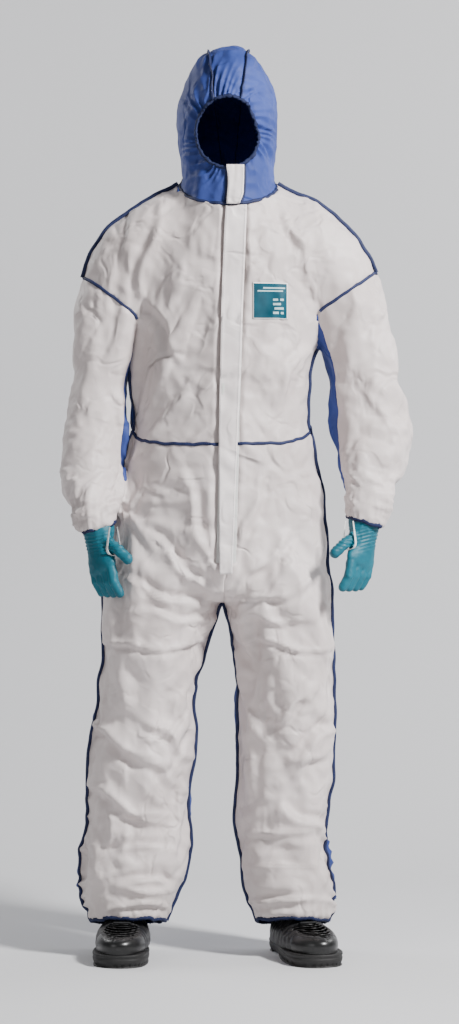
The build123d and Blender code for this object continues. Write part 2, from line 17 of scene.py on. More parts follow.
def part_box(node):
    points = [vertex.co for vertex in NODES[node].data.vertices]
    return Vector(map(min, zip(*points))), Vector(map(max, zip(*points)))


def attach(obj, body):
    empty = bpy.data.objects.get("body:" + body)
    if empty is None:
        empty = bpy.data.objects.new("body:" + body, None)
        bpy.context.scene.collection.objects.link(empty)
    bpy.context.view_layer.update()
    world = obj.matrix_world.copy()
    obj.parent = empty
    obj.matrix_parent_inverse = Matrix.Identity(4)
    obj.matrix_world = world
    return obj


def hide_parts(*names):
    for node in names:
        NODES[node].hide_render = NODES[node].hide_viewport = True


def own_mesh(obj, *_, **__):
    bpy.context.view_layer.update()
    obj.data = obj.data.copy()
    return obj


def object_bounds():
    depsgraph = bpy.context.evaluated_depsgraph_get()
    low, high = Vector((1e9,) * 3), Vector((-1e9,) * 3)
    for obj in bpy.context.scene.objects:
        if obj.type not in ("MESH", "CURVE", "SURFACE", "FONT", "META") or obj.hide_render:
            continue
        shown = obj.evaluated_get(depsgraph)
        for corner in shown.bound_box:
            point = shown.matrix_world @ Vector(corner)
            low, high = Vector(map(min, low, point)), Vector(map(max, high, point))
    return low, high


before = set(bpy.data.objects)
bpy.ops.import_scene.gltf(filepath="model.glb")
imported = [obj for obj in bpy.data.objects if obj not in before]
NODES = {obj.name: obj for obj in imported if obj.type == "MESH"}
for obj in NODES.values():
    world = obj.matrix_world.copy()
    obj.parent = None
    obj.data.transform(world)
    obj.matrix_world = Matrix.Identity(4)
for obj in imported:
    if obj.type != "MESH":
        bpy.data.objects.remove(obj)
CAD_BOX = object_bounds()
SIDES = {"right": -1, "left": 1}

HOOD = ["hood_centre", "hood_left", "hood_right"]
SUIT = [f"{part}_{side}" for part in ("body_front", "trouser_front", "trouser_back") for side in SIDES]
SUIT += [f"{part}_{side}" for part in ("sleeve_outer", "sleeve_under") for side in SIDES] + ["body_back"]
BLUE = ("body_back", "trouser_back", "sleeve_under", "hood")


# ---- meshes -------------------------------------------------------------------------------------


def coordinates(mesh, what="co"):
    flat = np.empty(len(mesh.vertices) * 3)
    mesh.vertices.foreach_get(what, flat)
    return flat.reshape(-1, 3)


def points(*nodes):
    """The vertices of CAD nodes, as rows of x, y, z."""
    return np.vstack([coordinates(NODES[node].data) for node in nodes])


def move(mesh, places):
    mesh.vertices.foreach_set("co", np.asarray(places, np.float32).ravel())
    mesh.update()


def mesh_of(name, places, faces):
    mesh = bpy.data.meshes.new(name)
    mesh.from_pydata([tuple(p) for p in places], [], faces)
    mesh.update()
    return mesh


def applied(mesh, *modifiers):
    """The mesh with modifiers, each a type and its settings, applied in turn."""
    holder = bpy.data.objects.new("holder", mesh)
    bpy.context.scene.collection.objects.link(holder)
    for kind, settings in modifiers:
        modifier = holder.modifiers.new(kind.lower(), kind)
        for setting, value in settings.items():
            setattr(modifier, setting, value)
    made = bpy.data.meshes.new_from_object(holder.evaluated_get(bpy.context.evaluated_depsgraph_get()))
    bpy.data.objects.remove(holder)
    return made


def hull(nodes, above=-math.inf):
    """The convex hull of CAD nodes, or of what is above a height."""
    work = bmesh.new()
    for place in points(*nodes):
        if place[2] > above:
            work.verts.new(place)
    made = bmesh.ops.convex_hull(work, input=work.verts, use_existing_faces=False)
    inner = {v for v in made["geom_interior"] + made["geom_unused"] if isinstance(v, bmesh.types.BMVert)}
    bmesh.ops.delete(work, geom=list(inner), context="VERTS")
    mesh = bpy.data.meshes.new("hull")
    work.to_mesh(mesh)
    work.free()
    return mesh


def outer_skin(mesh):
    """The largest of a mesh's separate surfaces."""
    work = bmesh.new()
    work.from_mesh(mesh)
    seen, largest = set(), []
    for start in work.verts:
        if start in seen:
            continue
        found, front = [start], [start]
        seen.add(start)
        while front:
            fresh = {e.other_vert(v) for v in front for e in v.link_edges} - seen
            seen |= fresh
            found += fresh
            front = fresh
        if len(found) > len(largest):
            largest = found
    bmesh.ops.delete(work, geom=list(seen - set(largest)), context="VERTS")
    work.to_mesh(mesh)
    work.free()
    return mesh


def filled(nodes, plugs, voxel):
    """The skin of CAD nodes joined with plugs for their openings, as one even mesh of quads."""
    work = bmesh.new()
    for mesh in [NODES[node].data for node in nodes] + plugs:
        work.from_mesh(mesh)
    mesh = bpy.data.meshes.new("filled")
    work.to_mesh(mesh)
    work.free()
    return outer_skin(applied(mesh, ("REMESH", {"mode": "VOXEL", "voxel_size": voxel})))


def piece(name, mesh, material, body, slot, *nodes):
    """Shows a mesh as a piece that rides on a body and stands for CAD nodes."""
    made = bpy.data.objects.new(name, mesh)
    bpy.context.scene.collection.objects.link(made)
    mesh.materials.clear()
    mesh.materials.append(material)
    mesh.polygons.foreach_set("use_smooth", [True] * len(mesh.polygons))
    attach(made, body)
    if nodes:
        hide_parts(*nodes)
    return made


# ---- materials ----------------------------------------------------------------------------------


def node(tree, kind, settings=None, **inputs):
    """A shader node with settings, and inputs that are values or other nodes' outputs."""
    made = tree.nodes.new("ShaderNode" + kind)
    for setting, value in (settings or {}).items():
        setattr(made, setting, value)
    for name, value in inputs.items():
        socket = made.inputs[name.replace("_", " ")]
        if isinstance(value, bpy.types.NodeSocket):
            tree.links.new(value, socket)
        else:
            socket.default_value = value
    return made


def shader(name, **constants):
    """A Principled material: its tree, its shader, and the object coordinates to draw patterns in."""
    material = bpy.data.materials.new(name)
    material.use_nodes = True
    tree = material.node_tree
    principled = tree.nodes["Principled BSDF"]
    for socket, value in constants.items():
        principled.inputs[socket.replace("_", " ")].default_value = value
    return material, tree, principled, tree.nodes.new("ShaderNodeTexCoord")


def mottled(tree, where, dark, light, scale, detail=4.0, spread=(0.35, 0.65)):
    """A colour that drifts between two shades."""
    cloud = node(tree, "TexNoise", Vector=where, Scale=scale, Detail=detail)
    ramp = node(tree, "ValToRGB", Fac=cloud.outputs["Fac"])
    for stop, place, colour in zip(ramp.color_ramp.elements, spread, (dark, light)):
        stop.position = place
        stop.color = (*colour, 1)
    return ramp.outputs["Color"]


def bumps(tree, shader_node, *layers):
    """Chains bump layers, each a height, its depth in metres and its strength."""
    normal = None
    for height, depth, strength in layers:
        inputs = {"Height": height, "Distance": depth, "Strength": strength}
        if normal:
            inputs["Normal"] = normal
        normal = node(tree, "Bump", **inputs).outputs["Normal"]
    tree.links.new(normal, shader_node.inputs["Normal"])


CRUMPLE, CREASE, FIBRE = 6.0, 15.0, 1500.0  # texture scales, per metre


def creases(tree, where, scale, width):
    """Long open crease lines that come and go: the level lines of one cloud, faded by another."""
    cloud = node(tree, "TexNoise", Vector=where, Scale=scale, Detail=2.0, Roughness=0.45, Distortion=0.4)
    off = node(tree, "MapRange", {"interpolation_type": "SMOOTHSTEP"}, Value=distance(tree, cloud), From_Max=width)
    patches = node(tree, "TexNoise", Vector=where, Scale=scale * 0.8, Detail=1.0)
    fade = node(tree, "MapRange", Value=patches.outputs["Fac"], From_Min=0.42, From_Max=0.6)
    made = node(tree, "Math", {"operation": "MULTIPLY"})
    tree.links.new(off.outputs["Result"], made.inputs[0])
    tree.links.new(fade.outputs["Result"], made.inputs[1])
    return made.outputs["Value"]


def distance(tree, cloud):
    """How far a cloud is from its middle grey."""
    centred = node(tree, "Math", {"operation": "SUBTRACT"})
    tree.links.new(cloud.outputs["Fac"], centred.inputs[0])
    centred.inputs[1].default_value = 0.5
    away = node(tree, "Math", {"operation": "ABSOLUTE"})
    tree.links.new(centred.outputs["Value"], away.inputs[0])
    return away.outputs["Value"]


def nonwoven(name, dark, light, soiled, **constants):
    """A laminated nonwoven: pressed fibres, sharp small creases, faint mottling, and dust low on the legs."""
    material, tree, principled, coords = shader(name, **constants)
    where = coords.outputs["Object"]
    cloth = mottled(tree, where, dark, light, 7.0)
    speck = node(tree, "TexNoise", Vector=where, Scale=FIBRE * 0.4, Detail=2.0)
    fleck = node(tree, "MapRange", Value=speck.outputs["Fac"], To_Min=0.93, To_Max=1.04)
    flecked = node(tree, "VectorMath", {"operation": "SCALE"}, Scale=fleck.outputs["Result"])
    tree.links.new(cloth, flecked.inputs[0])
    height = node(tree, "SeparateXYZ", Vector=where)
    low = node(tree, "MapRange", Value=height.outputs["Z"], From_Min=0.04, From_Max=0.22, To_Min=0.5, To_Max=0)
    smudge = node(tree, "TexNoise", Vector=where, Scale=24.0, Detail=5.0)
    dust = node(tree, "Math", {"operation": "MULTIPLY"})
    tree.links.new(low.outputs["Result"], dust.inputs[0])
    tree.links.new(smudge.outputs["Fac"], dust.inputs[1])
    mix = node(tree, "Mix", {"data_type": "RGBA"})
    tree.links.new(dust.outputs["Value"], mix.inputs["Factor"])
    tree.links.new(flecked.outputs["Vector"], mix.inputs["A"])
    mix.inputs["B"].default_value = (*soiled, 1)
    tree.links.new(mix.outputs["Result"], principled.inputs["Base Color"])
    fibres = node(tree, "TexNoise", Vector=where, Scale=FIBRE, Detail=2.0)
    bumps(
        tree, principled,
        (creases(tree, where, CRUMPLE, 0.07), 0.0050, 0.9),
        (creases(tree, where, CREASE, 0.10), 0.0024, 0.8),
        (fibres.outputs["Fac"], 0.00012, 0.6),
    )
    return material


def woven(name, dark, light, pitch, rough=0.75, drawn="UV"):
    """A knitted or woven tape: ribs along it and across it, in its own coordinates in metres or the object's."""
    material, tree, principled, coords = shader(name, Roughness=rough, Specular_IOR_Level=0.3)
    where = coords.outputs[drawn]
    tree.links.new(mottled(tree, coords.outputs["Object"], dark, light, 60.0), principled.inputs["Base Color"])
    along = node(
        tree, "TexWave", {"bands_direction": "X"}, Vector=where, Scale=0.31 / pitch, Distortion=1.0,
    )
    crossing = "Y" if drawn == "UV" else "Z"
    across = node(tree, "TexWave", {"bands_direction": crossing}, Vector=where, Scale=0.31 / pitch)
    bumps(tree, principled, (along.outputs["Fac"], 0.0003, 0.6), (across.outputs["Fac"], 0.0002, 0.5))
    return material


def stitched(name, dark, light, thread, stitch=0.0045):
    """A folded binding tape with a row of stitches along its middle."""
    material, tree, principled, coords = shader(name, Roughness=0.62, Specular_IOR_Level=0.35)
    split = node(tree, "SeparateXYZ", Vector=coords.outputs["UV"])
    beat = node(tree, "Math", {"operation": "PINGPONG"})
    tree.links.new(split.outputs["X"], beat.inputs[0])
    beat.inputs[1].default_value = stitch / 2
    dash = node(tree, "Math", {"operation": "GREATER_THAN"})
    tree.links.new(beat.outputs["Value"], dash.inputs[0])
    dash.inputs[1].default_value = stitch * 0.14
    off = node(tree, "Math", {"operation": "COMPARE"})
    tree.links.new(split.outputs["Y"], off.inputs[0])
    off.inputs[1].default_value = 0.0
    off.inputs[2].default_value = 0.0004
    thread_here = node(tree, "Math", {"operation": "MULTIPLY"})
    tree.links.new(dash.outputs["Value"], thread_here.inputs[0])
    tree.links.new(off.outputs["Value"], thread_here.inputs[1])
    tape = mottled(tree, coords.outputs["Object"], dark, light, 90.0)
    mix = node(tree, "Mix", {"data_type": "RGBA"})
    tree.links.new(thread_here.outputs["Value"], mix.inputs["Factor"])
    tree.links.new(tape, mix.inputs["A"])
    mix.inputs["B"].default_value = (*thread, 1)
    tree.links.new(mix.outputs["Result"], principled.inputs["Base Color"])
    weave = node(tree, "TexWave", {"bands_direction": "X"}, Vector=coords.outputs["UV"], Scale=310.0)
    bumps(tree, principled, (weave.outputs["Fac"], 0.0001, 0.5), (thread_here.outputs["Value"], 0.0003, 0.8))
    return material


def moulded(name, dark, light, rough, grain, depth, **constants):
    """Rubber, leather or moulded plastic: two shades, a grain, and scuffs that roughen it."""
    material, tree, principled, coords = shader(name, **constants)
    where = coords.outputs["Object"]
    tree.links.new(mottled(tree, where, dark, light, 18.0), principled.inputs["Base Color"])
    scuff = node(tree, "TexNoise", Vector=where, Scale=35.0, Detail=6.0)
    worn = node(tree, "MapRange", Value=scuff.outputs["Fac"], To_Min=rough * 0.75, To_Max=rough * 1.3)
    tree.links.new(worn.outputs["Result"], principled.inputs["Roughness"])
    cells = node(tree, "TexVoronoi", Vector=where, Scale=grain)
    soft = node(tree, "TexNoise", Vector=where, Scale=grain * 0.15, Detail=3.0)
    bumps(tree, principled, (soft.outputs["Fac"], depth * 3, 0.4), (cells.outputs["Distance"], depth, 0.5))
    return material


def printed_label(name, low, high):
    """A teal label with a white border and plain generic marks, drawn across its box."""
    material, tree, principled, coords = shader(name, Roughness=0.6, Specular_IOR_Level=0.2)
    split = node(tree, "SeparateXYZ", Vector=coords.outputs["Object"])

    def between(axis, start, end):
        """1 between two shares of the label's width or height, and 0 outside them."""
        at = 0 if axis == "X" else 2
        middle = low[at] + (high[at] - low[at]) * (start + end) / 2
        made = node(tree, "Math", {"operation": "COMPARE"})
        tree.links.new(split.outputs[axis], made.inputs[0])
        made.inputs[1].default_value = middle
        made.inputs[2].default_value = (high[at] - low[at]) * (end - start) / 2
        return made.outputs["Value"]

    def both(operation, a, b):
        made = node(tree, "Math", {"operation": operation})
        tree.links.new(a, made.inputs[0])
        tree.links.new(b, made.inputs[1])
        return made.outputs["Value"]

    marks = None
    for left, right, bottom, top in LABEL_MARKS:
        bar = both("MULTIPLY", between("X", left, right), between("Z", bottom, top))
        marks = bar if marks is None else both("MAXIMUM", marks, bar)
    field = both("MULTIPLY", between("X", 0.03, 0.97), between("Z", 0.03, 0.97))
    teal = mottled(tree, coords.outputs["Object"], (0.001, 0.045, 0.070), (0.002, 0.065, 0.098), 40.0)
    inner = node(tree, "Mix", {"data_type": "RGBA"})
    tree.links.new(marks, inner.inputs["Factor"])
    tree.links.new(teal, inner.inputs["A"])
    inner.inputs["B"].default_value = (0.42, 0.58, 0.60, 1)
    outer = node(tree, "Mix", {"data_type": "RGBA"})
    tree.links.new(field, outer.inputs["Factor"])
    outer.inputs["A"].default_value = (0.74, 0.74, 0.73, 1)
    tree.links.new(inner.outputs["Result"], outer.inputs["B"])
    tree.links.new(outer.outputs["Result"], principled.inputs["Base Color"])
    grain = node(tree, "TexNoise", Vector=coords.outputs["Object"], Scale=900.0)
    bumps(tree, principled, (grain.outputs["Fac"], 0.0001, 0.4))
    return material


# Bars and blocks on the label, as shares of its width and height: left, right, bottom, top
LABEL_MARKS = [
    (0.30, 0.92, 0.83, 0.87), (0.14, 0.86, 0.75, 0.785), (0.58, 0.72, 0.50, 0.56), (0.78, 0.88, 0.50, 0.56),
    (0.58, 0.80, 0.38, 0.44), (0.62, 0.88, 0.26, 0.32), (0.58, 0.74, 0.14, 0.20), (0.80, 0.88, 0.14, 0.20),
]

WHITE_FINISH = {"Roughness": 0.5, "Specular_IOR_Level": 0.35, "Sheen_Weight": 0.1, "Sheen_Roughness": 0.5}
BLUE_FINISH = {"Roughness": 0.6, "Specular_IOR_Level": 0.2}
WHITE_CLOTH = nonwoven("white_nonwoven", (0.57, 0.50, 0.485), (0.69, 0.615, 0.60), (0.42, 0.39, 0.35), **WHITE_FINISH)
# The flaps' cloth is the white nonwoven painted lighter: painted light, the raised flaps drawn brighter than the cloth
# round them.
LIT_FLAP_CLOTH = nonwoven("flap_nonwoven_painted_light", (0.74, 0.67, 0.66), (0.84, 0.775, 0.765), (0.42, 0.39, 0.35), **WHITE_FINISH)
BLUE_CLOTH = nonwoven("blue_nonwoven", (0.026, 0.046, 0.19), (0.044, 0.072, 0.27), (0.05, 0.06, 0.12), **BLUE_FINISH)
PIPING = stitched("navy_binding", (0.006, 0.011, 0.05), (0.011, 0.019, 0.075), (0.02, 0.03, 0.10))
ELASTIC = woven("navy_elastic", (0.006, 0.011, 0.045), (0.011, 0.018, 0.065), 0.0016)
WAIST_ELASTIC = woven("waist_elastic_knit", (0.006, 0.011, 0.045), (0.011, 0.018, 0.065), 0.0016, drawn="Object")
WHITE_ELASTIC = woven("white_elastic", (0.66, 0.66, 0.64), (0.78, 0.78, 0.76), 0.0014, drawn="Object")
THREAD = woven("white_thread", (0.60, 0.60, 0.60), (0.72, 0.72, 0.72), 0.0008)
LACES = woven("black_laces", (0.010, 0.010, 0.011), (0.024, 0.024, 0.025), 0.0012, drawn="Object")
RUBBER = moulded(
    "teal_nitrile", (0.002, 0.090, 0.130), (0.005, 0.125, 0.175), 0.5, 900.0, 0.00025, Specular_IOR_Level=0.35
)
LEATHER = moulded("black_leather", (0.006, 0.006, 0.007), (0.016, 0.015, 0.015), 0.46, 620.0, 0.0003)
TOE_CAP = moulded("toe_cap_rubber", (0.006, 0.006, 0.006), (0.012, 0.012, 0.012), 0.3, 500.0, 0.00008)
SOLE = moulded("sole_rubber", (0.006, 0.006, 0.006), (0.013, 0.012, 0.012), 0.6, 700.0, 0.0003)
ZIP_METAL = moulded("zip_enamel", (0.62, 0.62, 0.62), (0.72, 0.72, 0.72), 0.35, 1500.0, 0.00003, Metallic=0.2)
ZIP_TEETH = moulded("zip_coil", (0.66, 0.66, 0.65), (0.76, 0.76, 0.75), 0.45, 1200.0, 0.0001)
ZIP_TAPE = woven("zip_tape_cloth", (0.66, 0.66, 0.64), (0.76, 0.76, 0.74), 0.0018, drawn="Object")
ADHESIVE = moulded("release_paper", (0.70, 0.70, 0.66), (0.80, 0.80, 0.76), 0.3, 200.0, 0.0001)


# ---- seams --------------------------------------------------------------------------------------

TREES = {}


def tree(*nodes):
    """A search tree of CAD nodes' faces."""
    if nodes not in TREES:
        places, faces = [], []
        for name in nodes:
            faces += [[i + len(places) for i in f.vertices] for f in NODES[name].data.polygons]
            places += [v.co.copy() for v in NODES[name].data.vertices]
        TREES[nodes] = BVHTree.FromPolygons(places, faces)
    return TREES[nodes]


TOUCH = 0.0009  # panels this near each other share a seam
SEAM_REACH = 0.03  # a seam's cut reaches this far past what the panels share


def seam(a, b):
    """The plane of the seam between two CAD panels and the box it is cut in, or None if they don't meet."""
    found = tree(b)
    met = np.array([p for p in points(a) if found.find_nearest(Vector(p), TOUCH)[0] is not None])
    if len(met) < 12:
        return None
    middle = met.mean(0)
    normal = np.linalg.svd(met - middle, full_matrices=False)[2][2]
    if np.abs((met - middle) @ normal).max() > 0.003:
        return None
    return Vector(middle), Vector(normal), met.min(0) - SEAM_REACH, met.max(0) + SEAM_REACH


END_REACH = np.array((0.012, 0.012, 0.035))  # an end's box reaches this far past its elastic ring


END_INSET = 0.004  # an end is cut this far inside its ring, above the plug that filled it


def end_plane(ring):
    """The plane at the lower edge of an elastic ring, facing down, and the box round it."""
    places = points(ring)
    middle = places.mean(0)
    down = np.linalg.svd(places - middle, full_matrices=False)[2][2]
    down *= -np.sign(down[2])
    edge = middle + down * (((places - middle) @ down).max() - END_INSET)
    return Vector(edge), Vector(down), places.min(0) - END_REACH, places.max(0) + END_REACH


SNAP = 0.3  # corners nearer to a cut than this share of a voxel move onto it


def cut(work, plane, voxel):
    """Splits the faces of a mesh along a plane, in that plane's box."""
    middle, normal, low, high = plane
    near = {v for v in work.verts if all(low[i] < v.co[i] < high[i] for i in range(3))}
    for vert in near:
        off = (vert.co - middle).dot(normal)
        if abs(off) < SNAP * voxel:
            vert.co -= normal * off
    faces = {f for v in near for f in v.link_faces if all(w in near for w in f.verts)}
    edges = {e for f in faces for e in f.edges}
    bmesh.ops.bisect_plane(
        work, geom=list(faces) + list(edges) + list(near), plane_co=middle, plane_no=normal, dist=1e-6
    )


def beyond(work, plane):
    """The faces on the far side of a plane, in its box, that join up with the nearest of them."""
    middle, normal, low, high = plane
    found = {}
    for face in work.faces:
        place = face.calc_center_median()
        if (place - middle).dot(normal) > 0 and all(low[i] < place[i] < high[i] for i in range(3)):
            found[face] = (place - middle).length
    front, joined = {min(found, key=found.get)}, set()
    while front:
        joined |= front
        front = {f for face in front for edge in face.edges for f in edge.link_faces if f in found} - joined
    return list(joined)


def even_seams(work, label, worn_at, rounds=14):
    """Evens the lines where panels meet, which go in steps along the faces where a seam isn't flat."""
    beside = {}
    for edge in work.edges:
        if len(edge.link_faces) == 2 and edge.link_faces[0][label] != edge.link_faces[1][label]:
            for vert in edge.verts:
                beside.setdefault(vert, []).append(edge.other_vert(vert))
    inner = {v: pair for v, pair in beside.items() if len(pair) == 2}
    for _ in range(rounds):
        moved = {v: ((v.co * 2 + a.co + b.co) / 4, (v[worn_at] * 2 + a[worn_at] + b[worn_at]) / 4)
                 for v, (a, b) in inner.items()}
        for vert, (rest, worn) in moved.items():
            vert.co = rest
            vert[worn_at] = worn


def tailor(mesh, worn, panels, ends, voxel):
    """Cuts a resting mesh at its seams and ends, labels its panels, and gives it its worn shape and one subdivision."""
    work = bmesh.new()
    work.from_mesh(mesh)
    worn_at = work.verts.layers.float_vector.new("worn")
    label = work.faces.layers.int.new("panel")
    for vert, place in zip(work.verts, worn):
        vert[worn_at] = place
    seams = [seam(a, b) for i, a in enumerate(panels) for b in panels[i + 1:]]
    for plane in [s for s in seams if s] + ends:
        cut(work, plane, voxel)
    for plane in ends:
        bmesh.ops.delete(work, geom=beyond(work, plane), context="FACES")
    every = tree(*panels)
    owner = [i for i, name in enumerate(panels) for _ in NODES[name].data.polygons]
    for face in work.faces:
        face[label] = owner[every.find_nearest(face.calc_center_median())[2]]
    even_seams(work, label, worn_at)
    rest_at = work.verts.layers.float_vector.new("rest")
    for vert in work.verts:
        vert[rest_at] = vert.co.copy()
        vert.co = vert[worn_at]
    work.verts.layers.float_vector.remove(work.verts.layers.float_vector["worn"])
    cut_mesh = bpy.data.meshes.new("cut")
    work.to_mesh(cut_mesh)
    work.free()
    return applied(cut_mesh, ("SUBSURF", {"levels": 1, "render_levels": 1}))


def attribute(mesh, name, width):
    data = mesh.attributes[name].data
    flat = np.empty(len(data) * width)
    data.foreach_get("vector" if width == 3 else "value", flat)
    return flat.reshape(-1, 3) if width == 3 else flat.astype(int)


def panel_mesh(mesh, label, number, thickness):
    """One panel of a tailored mesh, with the cloth's thickness on its inside."""
    work = bmesh.new()
    work.from_mesh(mesh)
    bmesh.ops.delete(work, geom=[f for f in work.faces if label[f.index] != number], context="FACES")
    made = bpy.data.meshes.new("panel")
    work.to_mesh(made)
    work.free()
    return applied(made, ("SOLIDIFY", {"thickness": thickness, "offset": -1}))


def chains(mesh, label, wanted):
    """Lines of vertices along the borders between panels that wanted() picks, each with whether it closes."""
    sides = {}
    for face in mesh.polygons:
        for key in face.edge_keys:
            sides.setdefault(key, []).append(label[face.index])
    beside = {}
    for (a, b), labels in sides.items():
        pair = (labels[0], labels[-1] if len(labels) > 1 else None)
        if pair[0] != pair[1] and wanted(*pair):
            beside.setdefault(a, set()).add(b)
            beside.setdefault(b, set()).add(a)
    lines = []
    while beside:
        start = min(beside, key=lambda v: (len(beside[v]) != 1, v))
        line = [start]
        while beside.get(line[-1]):
            here = line[-1]
            onwards = beside[here].pop()
            beside[onwards].discard(here)
            line.append(onwards)
        for spent in [v for v in set(line) if not beside.get(v)]:
            beside.pop(spent, None)
        if len(line) > 3:
            lines.append(line)
    return lines


def sweep(path, normals, half_wide, half_high, closed=False, around=8, step=0.004, ripple=None):
    """A mesh of an oval tube that follows a line and lies flat on a surface, with metres along it as its UV."""
    path, normals = np.asarray(path, float), np.asarray(normals, float)
    for _ in range(4):
        softer = (np.roll(path, 1, 0) + 2 * path + np.roll(path, -1, 0)) / 4
        if not closed:
            softer[0], softer[-1] = path[0], path[-1]
        path = softer
    run = np.vstack([path, path[:1]]) if closed else path
    facing = np.vstack([normals, normals[:1]]) if closed else normals
    far = np.concatenate([[0], np.cumsum(np.linalg.norm(np.diff(run, axis=0), axis=1))])
    count = max(4, int(far[-1] / step))
    at = np.linspace(0, far[-1], count + 1)
    run = np.array([np.interp(at, far, run[:, i]) for i in range(3)]).T
    facing = np.array([np.interp(at, far, facing[:, i]) for i in range(3)]).T
    if closed:
        run, facing, at = run[:-1], facing[:-1], at[:-1]
    along = np.roll(run, -1, 0) - np.roll(run, 1, 0) if closed else np.gradient(run, axis=0)
    along /= np.linalg.norm(along, axis=1)[:, None] + 1e-12
    facing -= along * (facing * along).sum(1)[:, None]
    facing /= np.linalg.norm(facing, axis=1)[:, None] + 1e-12
    across = np.cross(along, facing)
    places = []
    for i in range(len(run)):
        grow = 1 + ripple(at[i]) if ripple else 1
        for k in range(around):
            turn = 2 * math.pi * k / around
            offset = across[i] * math.cos(turn) * half_wide * grow + facing[i] * math.sin(turn) * half_high * grow
            places.append(run[i] + offset)
    rows = len(run)
    faces, where = [], []
    for i in range(rows if closed else rows - 1):
        j = (i + 1) % rows
        for k in range(around):
            m = (k + 1) % around
            faces.append((i * around + k, j * around + k, j * around + m, i * around + m))
            ends = (at[i], at[i] + step)
            side = [half_wide * math.cos(2 * math.pi * n / around) for n in (k, m)]
            where += [(ends[0], side[0]), (ends[1], side[0]), (ends[1], side[1]), (ends[0], side[1])]
    if not closed:
        faces += [tuple(range(around - 1, -1, -1)), tuple((rows - 1) * around + k for k in range(around))]
        where += [(0, 0)] * (2 * around)
    mesh = mesh_of("sweep", places, faces)
    layer = mesh.uv_layers.new(name="along")
    layer.data.foreach_set("uv", np.array(where, np.float32).ravel())
    return mesh


def merged(meshes):
    work = bmesh.new()
    for mesh in meshes:
        work.from_mesh(mesh)
    made = bpy.data.meshes.new("merged")
    work.to_mesh(made)
    work.free()
    return made


# ---- the drape ----------------------------------------------------------------------------------

VOXEL = 0.010
FRAMES = 36
CAP = 0.020  # the furthest that cloth may move from its CAD surface
ARM_X, ARM_Z = 0.215, 0.85  # sleeves are further out and higher than this
EASE = [(0.13, 0.020), (0.35, 0.032), (0.75, 0.026), (1.30, 0.018), (1.38, 0.010), (1.50, 0.004), (9.0, 0.006)]
ARM_EASE = 0.016


def near_zip(places):
    """How far points are from the zip's line, measured across it, and whether they are on the front beside it."""
    line = points("zip_teeth_left", "zip_teeth_right")
    slope, foot = np.polyfit(line[:, 2], line[:, 0], 1)
    beside = (places[:, 2] > line[:, 2].min()) & (places[:, 1] < 0)
    return np.abs(places[:, 0] - slope * places[:, 2] - foot), beside


def wearer(mesh):
    """The form under the cloth: the filled figure pulled in by the ease that each part of the suit has."""
    places, normals = coordinates(mesh), coordinates(mesh, "normal")
    ease = np.full(len(places), EASE[-1][1])
    for top, amount in reversed(EASE):
        ease[places[:, 2] < top] = amount
    ease[(np.abs(places[:, 0]) > ARM_X) & (places[:, 2] > ARM_Z)] = ARM_EASE
    inner = mesh.copy()
    move(inner, places - normals * ease[:, None])
    made = bpy.data.objects.new("wearer", inner)
    bpy.context.scene.collection.objects.link(made)
    made.modifiers.new("collision", "COLLISION")
    made.collision.thickness_outer = 0.002
    made.collision.cloth_friction = 6
    return made


def held(places):
    """How firmly each point keeps its place: fully at the neck, cuffs, hems and zip, and loosely elsewhere."""
    hold = np.full(len(places), 0.15)
    hold[places[:, 2] > 1.42] = 0.35
    neck = seam("body_front_left", "hood_left")
    hold[(places - np.array(neck[0])) @ np.array(neck[1]) * np.sign(neck[1].z) > -0.012] = 1
    for side in SIDES:
        for ring, reach in ((f"ankle_elastic_{side}", 0.030), (f"cuff_elastic_{side}", 0.026)):
            edge, down, low, high = end_plane(ring)
            inside = np.all((places > low) & (places < high), axis=1)
            hold[inside & ((places - np.array(edge)) @ np.array(down) > -reach)] = 1
    across, front = near_zip(places)
    hold[front & (across < 0.012)] = 0.8
    return hold


def drape(mesh):
    """The worn shape of the suit's skin: cut a little large and small in patches, it falls on the wearer and creases."""
    places = coordinates(mesh)
    under = wearer(mesh)
    cloth = bpy.data.objects.new("cloth", mesh.copy())
    bpy.context.scene.collection.objects.link(cloth)
    pins = cloth.vertex_groups.new(name="held")
    hold = held(places)
    for value in np.unique(hold):
        pins.add(np.nonzero(hold == value)[0].tolist(), float(value), "REPLACE")
    patches = cloth.vertex_groups.new(name="patches")
    for i, place in enumerate(places):
        patch = 0.5 + 0.9 * noise.noise(Vector((place[0] * 14, place[1] * 14, place[2] * 19.6)))
        patches.add([i], max(0, min(1, patch)), "REPLACE")
    settings = cloth.modifiers.new("cloth", "CLOTH").settings
    settings.quality = 5
    settings.mass = 0.25
    settings.air_damping = 2
    settings.tension_stiffness = settings.compression_stiffness = 80
    settings.shear_stiffness = 30
    settings.bending_stiffness = 5
    settings.tension_damping = settings.compression_damping = settings.shear_damping = 5
    settings.vertex_group_mass = "held"
    settings.vertex_group_shrink = "patches"
    settings.shrink_min, settings.shrink_max = -0.07, 0.042
    settings.effector_weights.gravity = 0.3
    collision = cloth.modifiers["cloth"].collision_settings
    collision.distance_min = 0.003
    collision.use_self_collision = False
    scene = bpy.context.scene
    cloth.modifiers["cloth"].point_cache.frame_end = FRAMES
    for step in range(1, FRAMES + 1):
        scene.frame_set(step)
    fallen = bpy.data.meshes.new_from_object(cloth.evaluated_get(bpy.context.evaluated_depsgraph_get()))
    moved = coordinates(fallen) - places
    scene.frame_set(1)
    for spent in (cloth, under):
        bpy.data.objects.remove(spent)
    far = np.linalg.norm(moved, axis=1)[:, None]
    return places + moved * np.minimum(1, CAP / np.maximum(far, 1e-9))


# ---- pressed-in shape ---------------------------------------------------------------------------


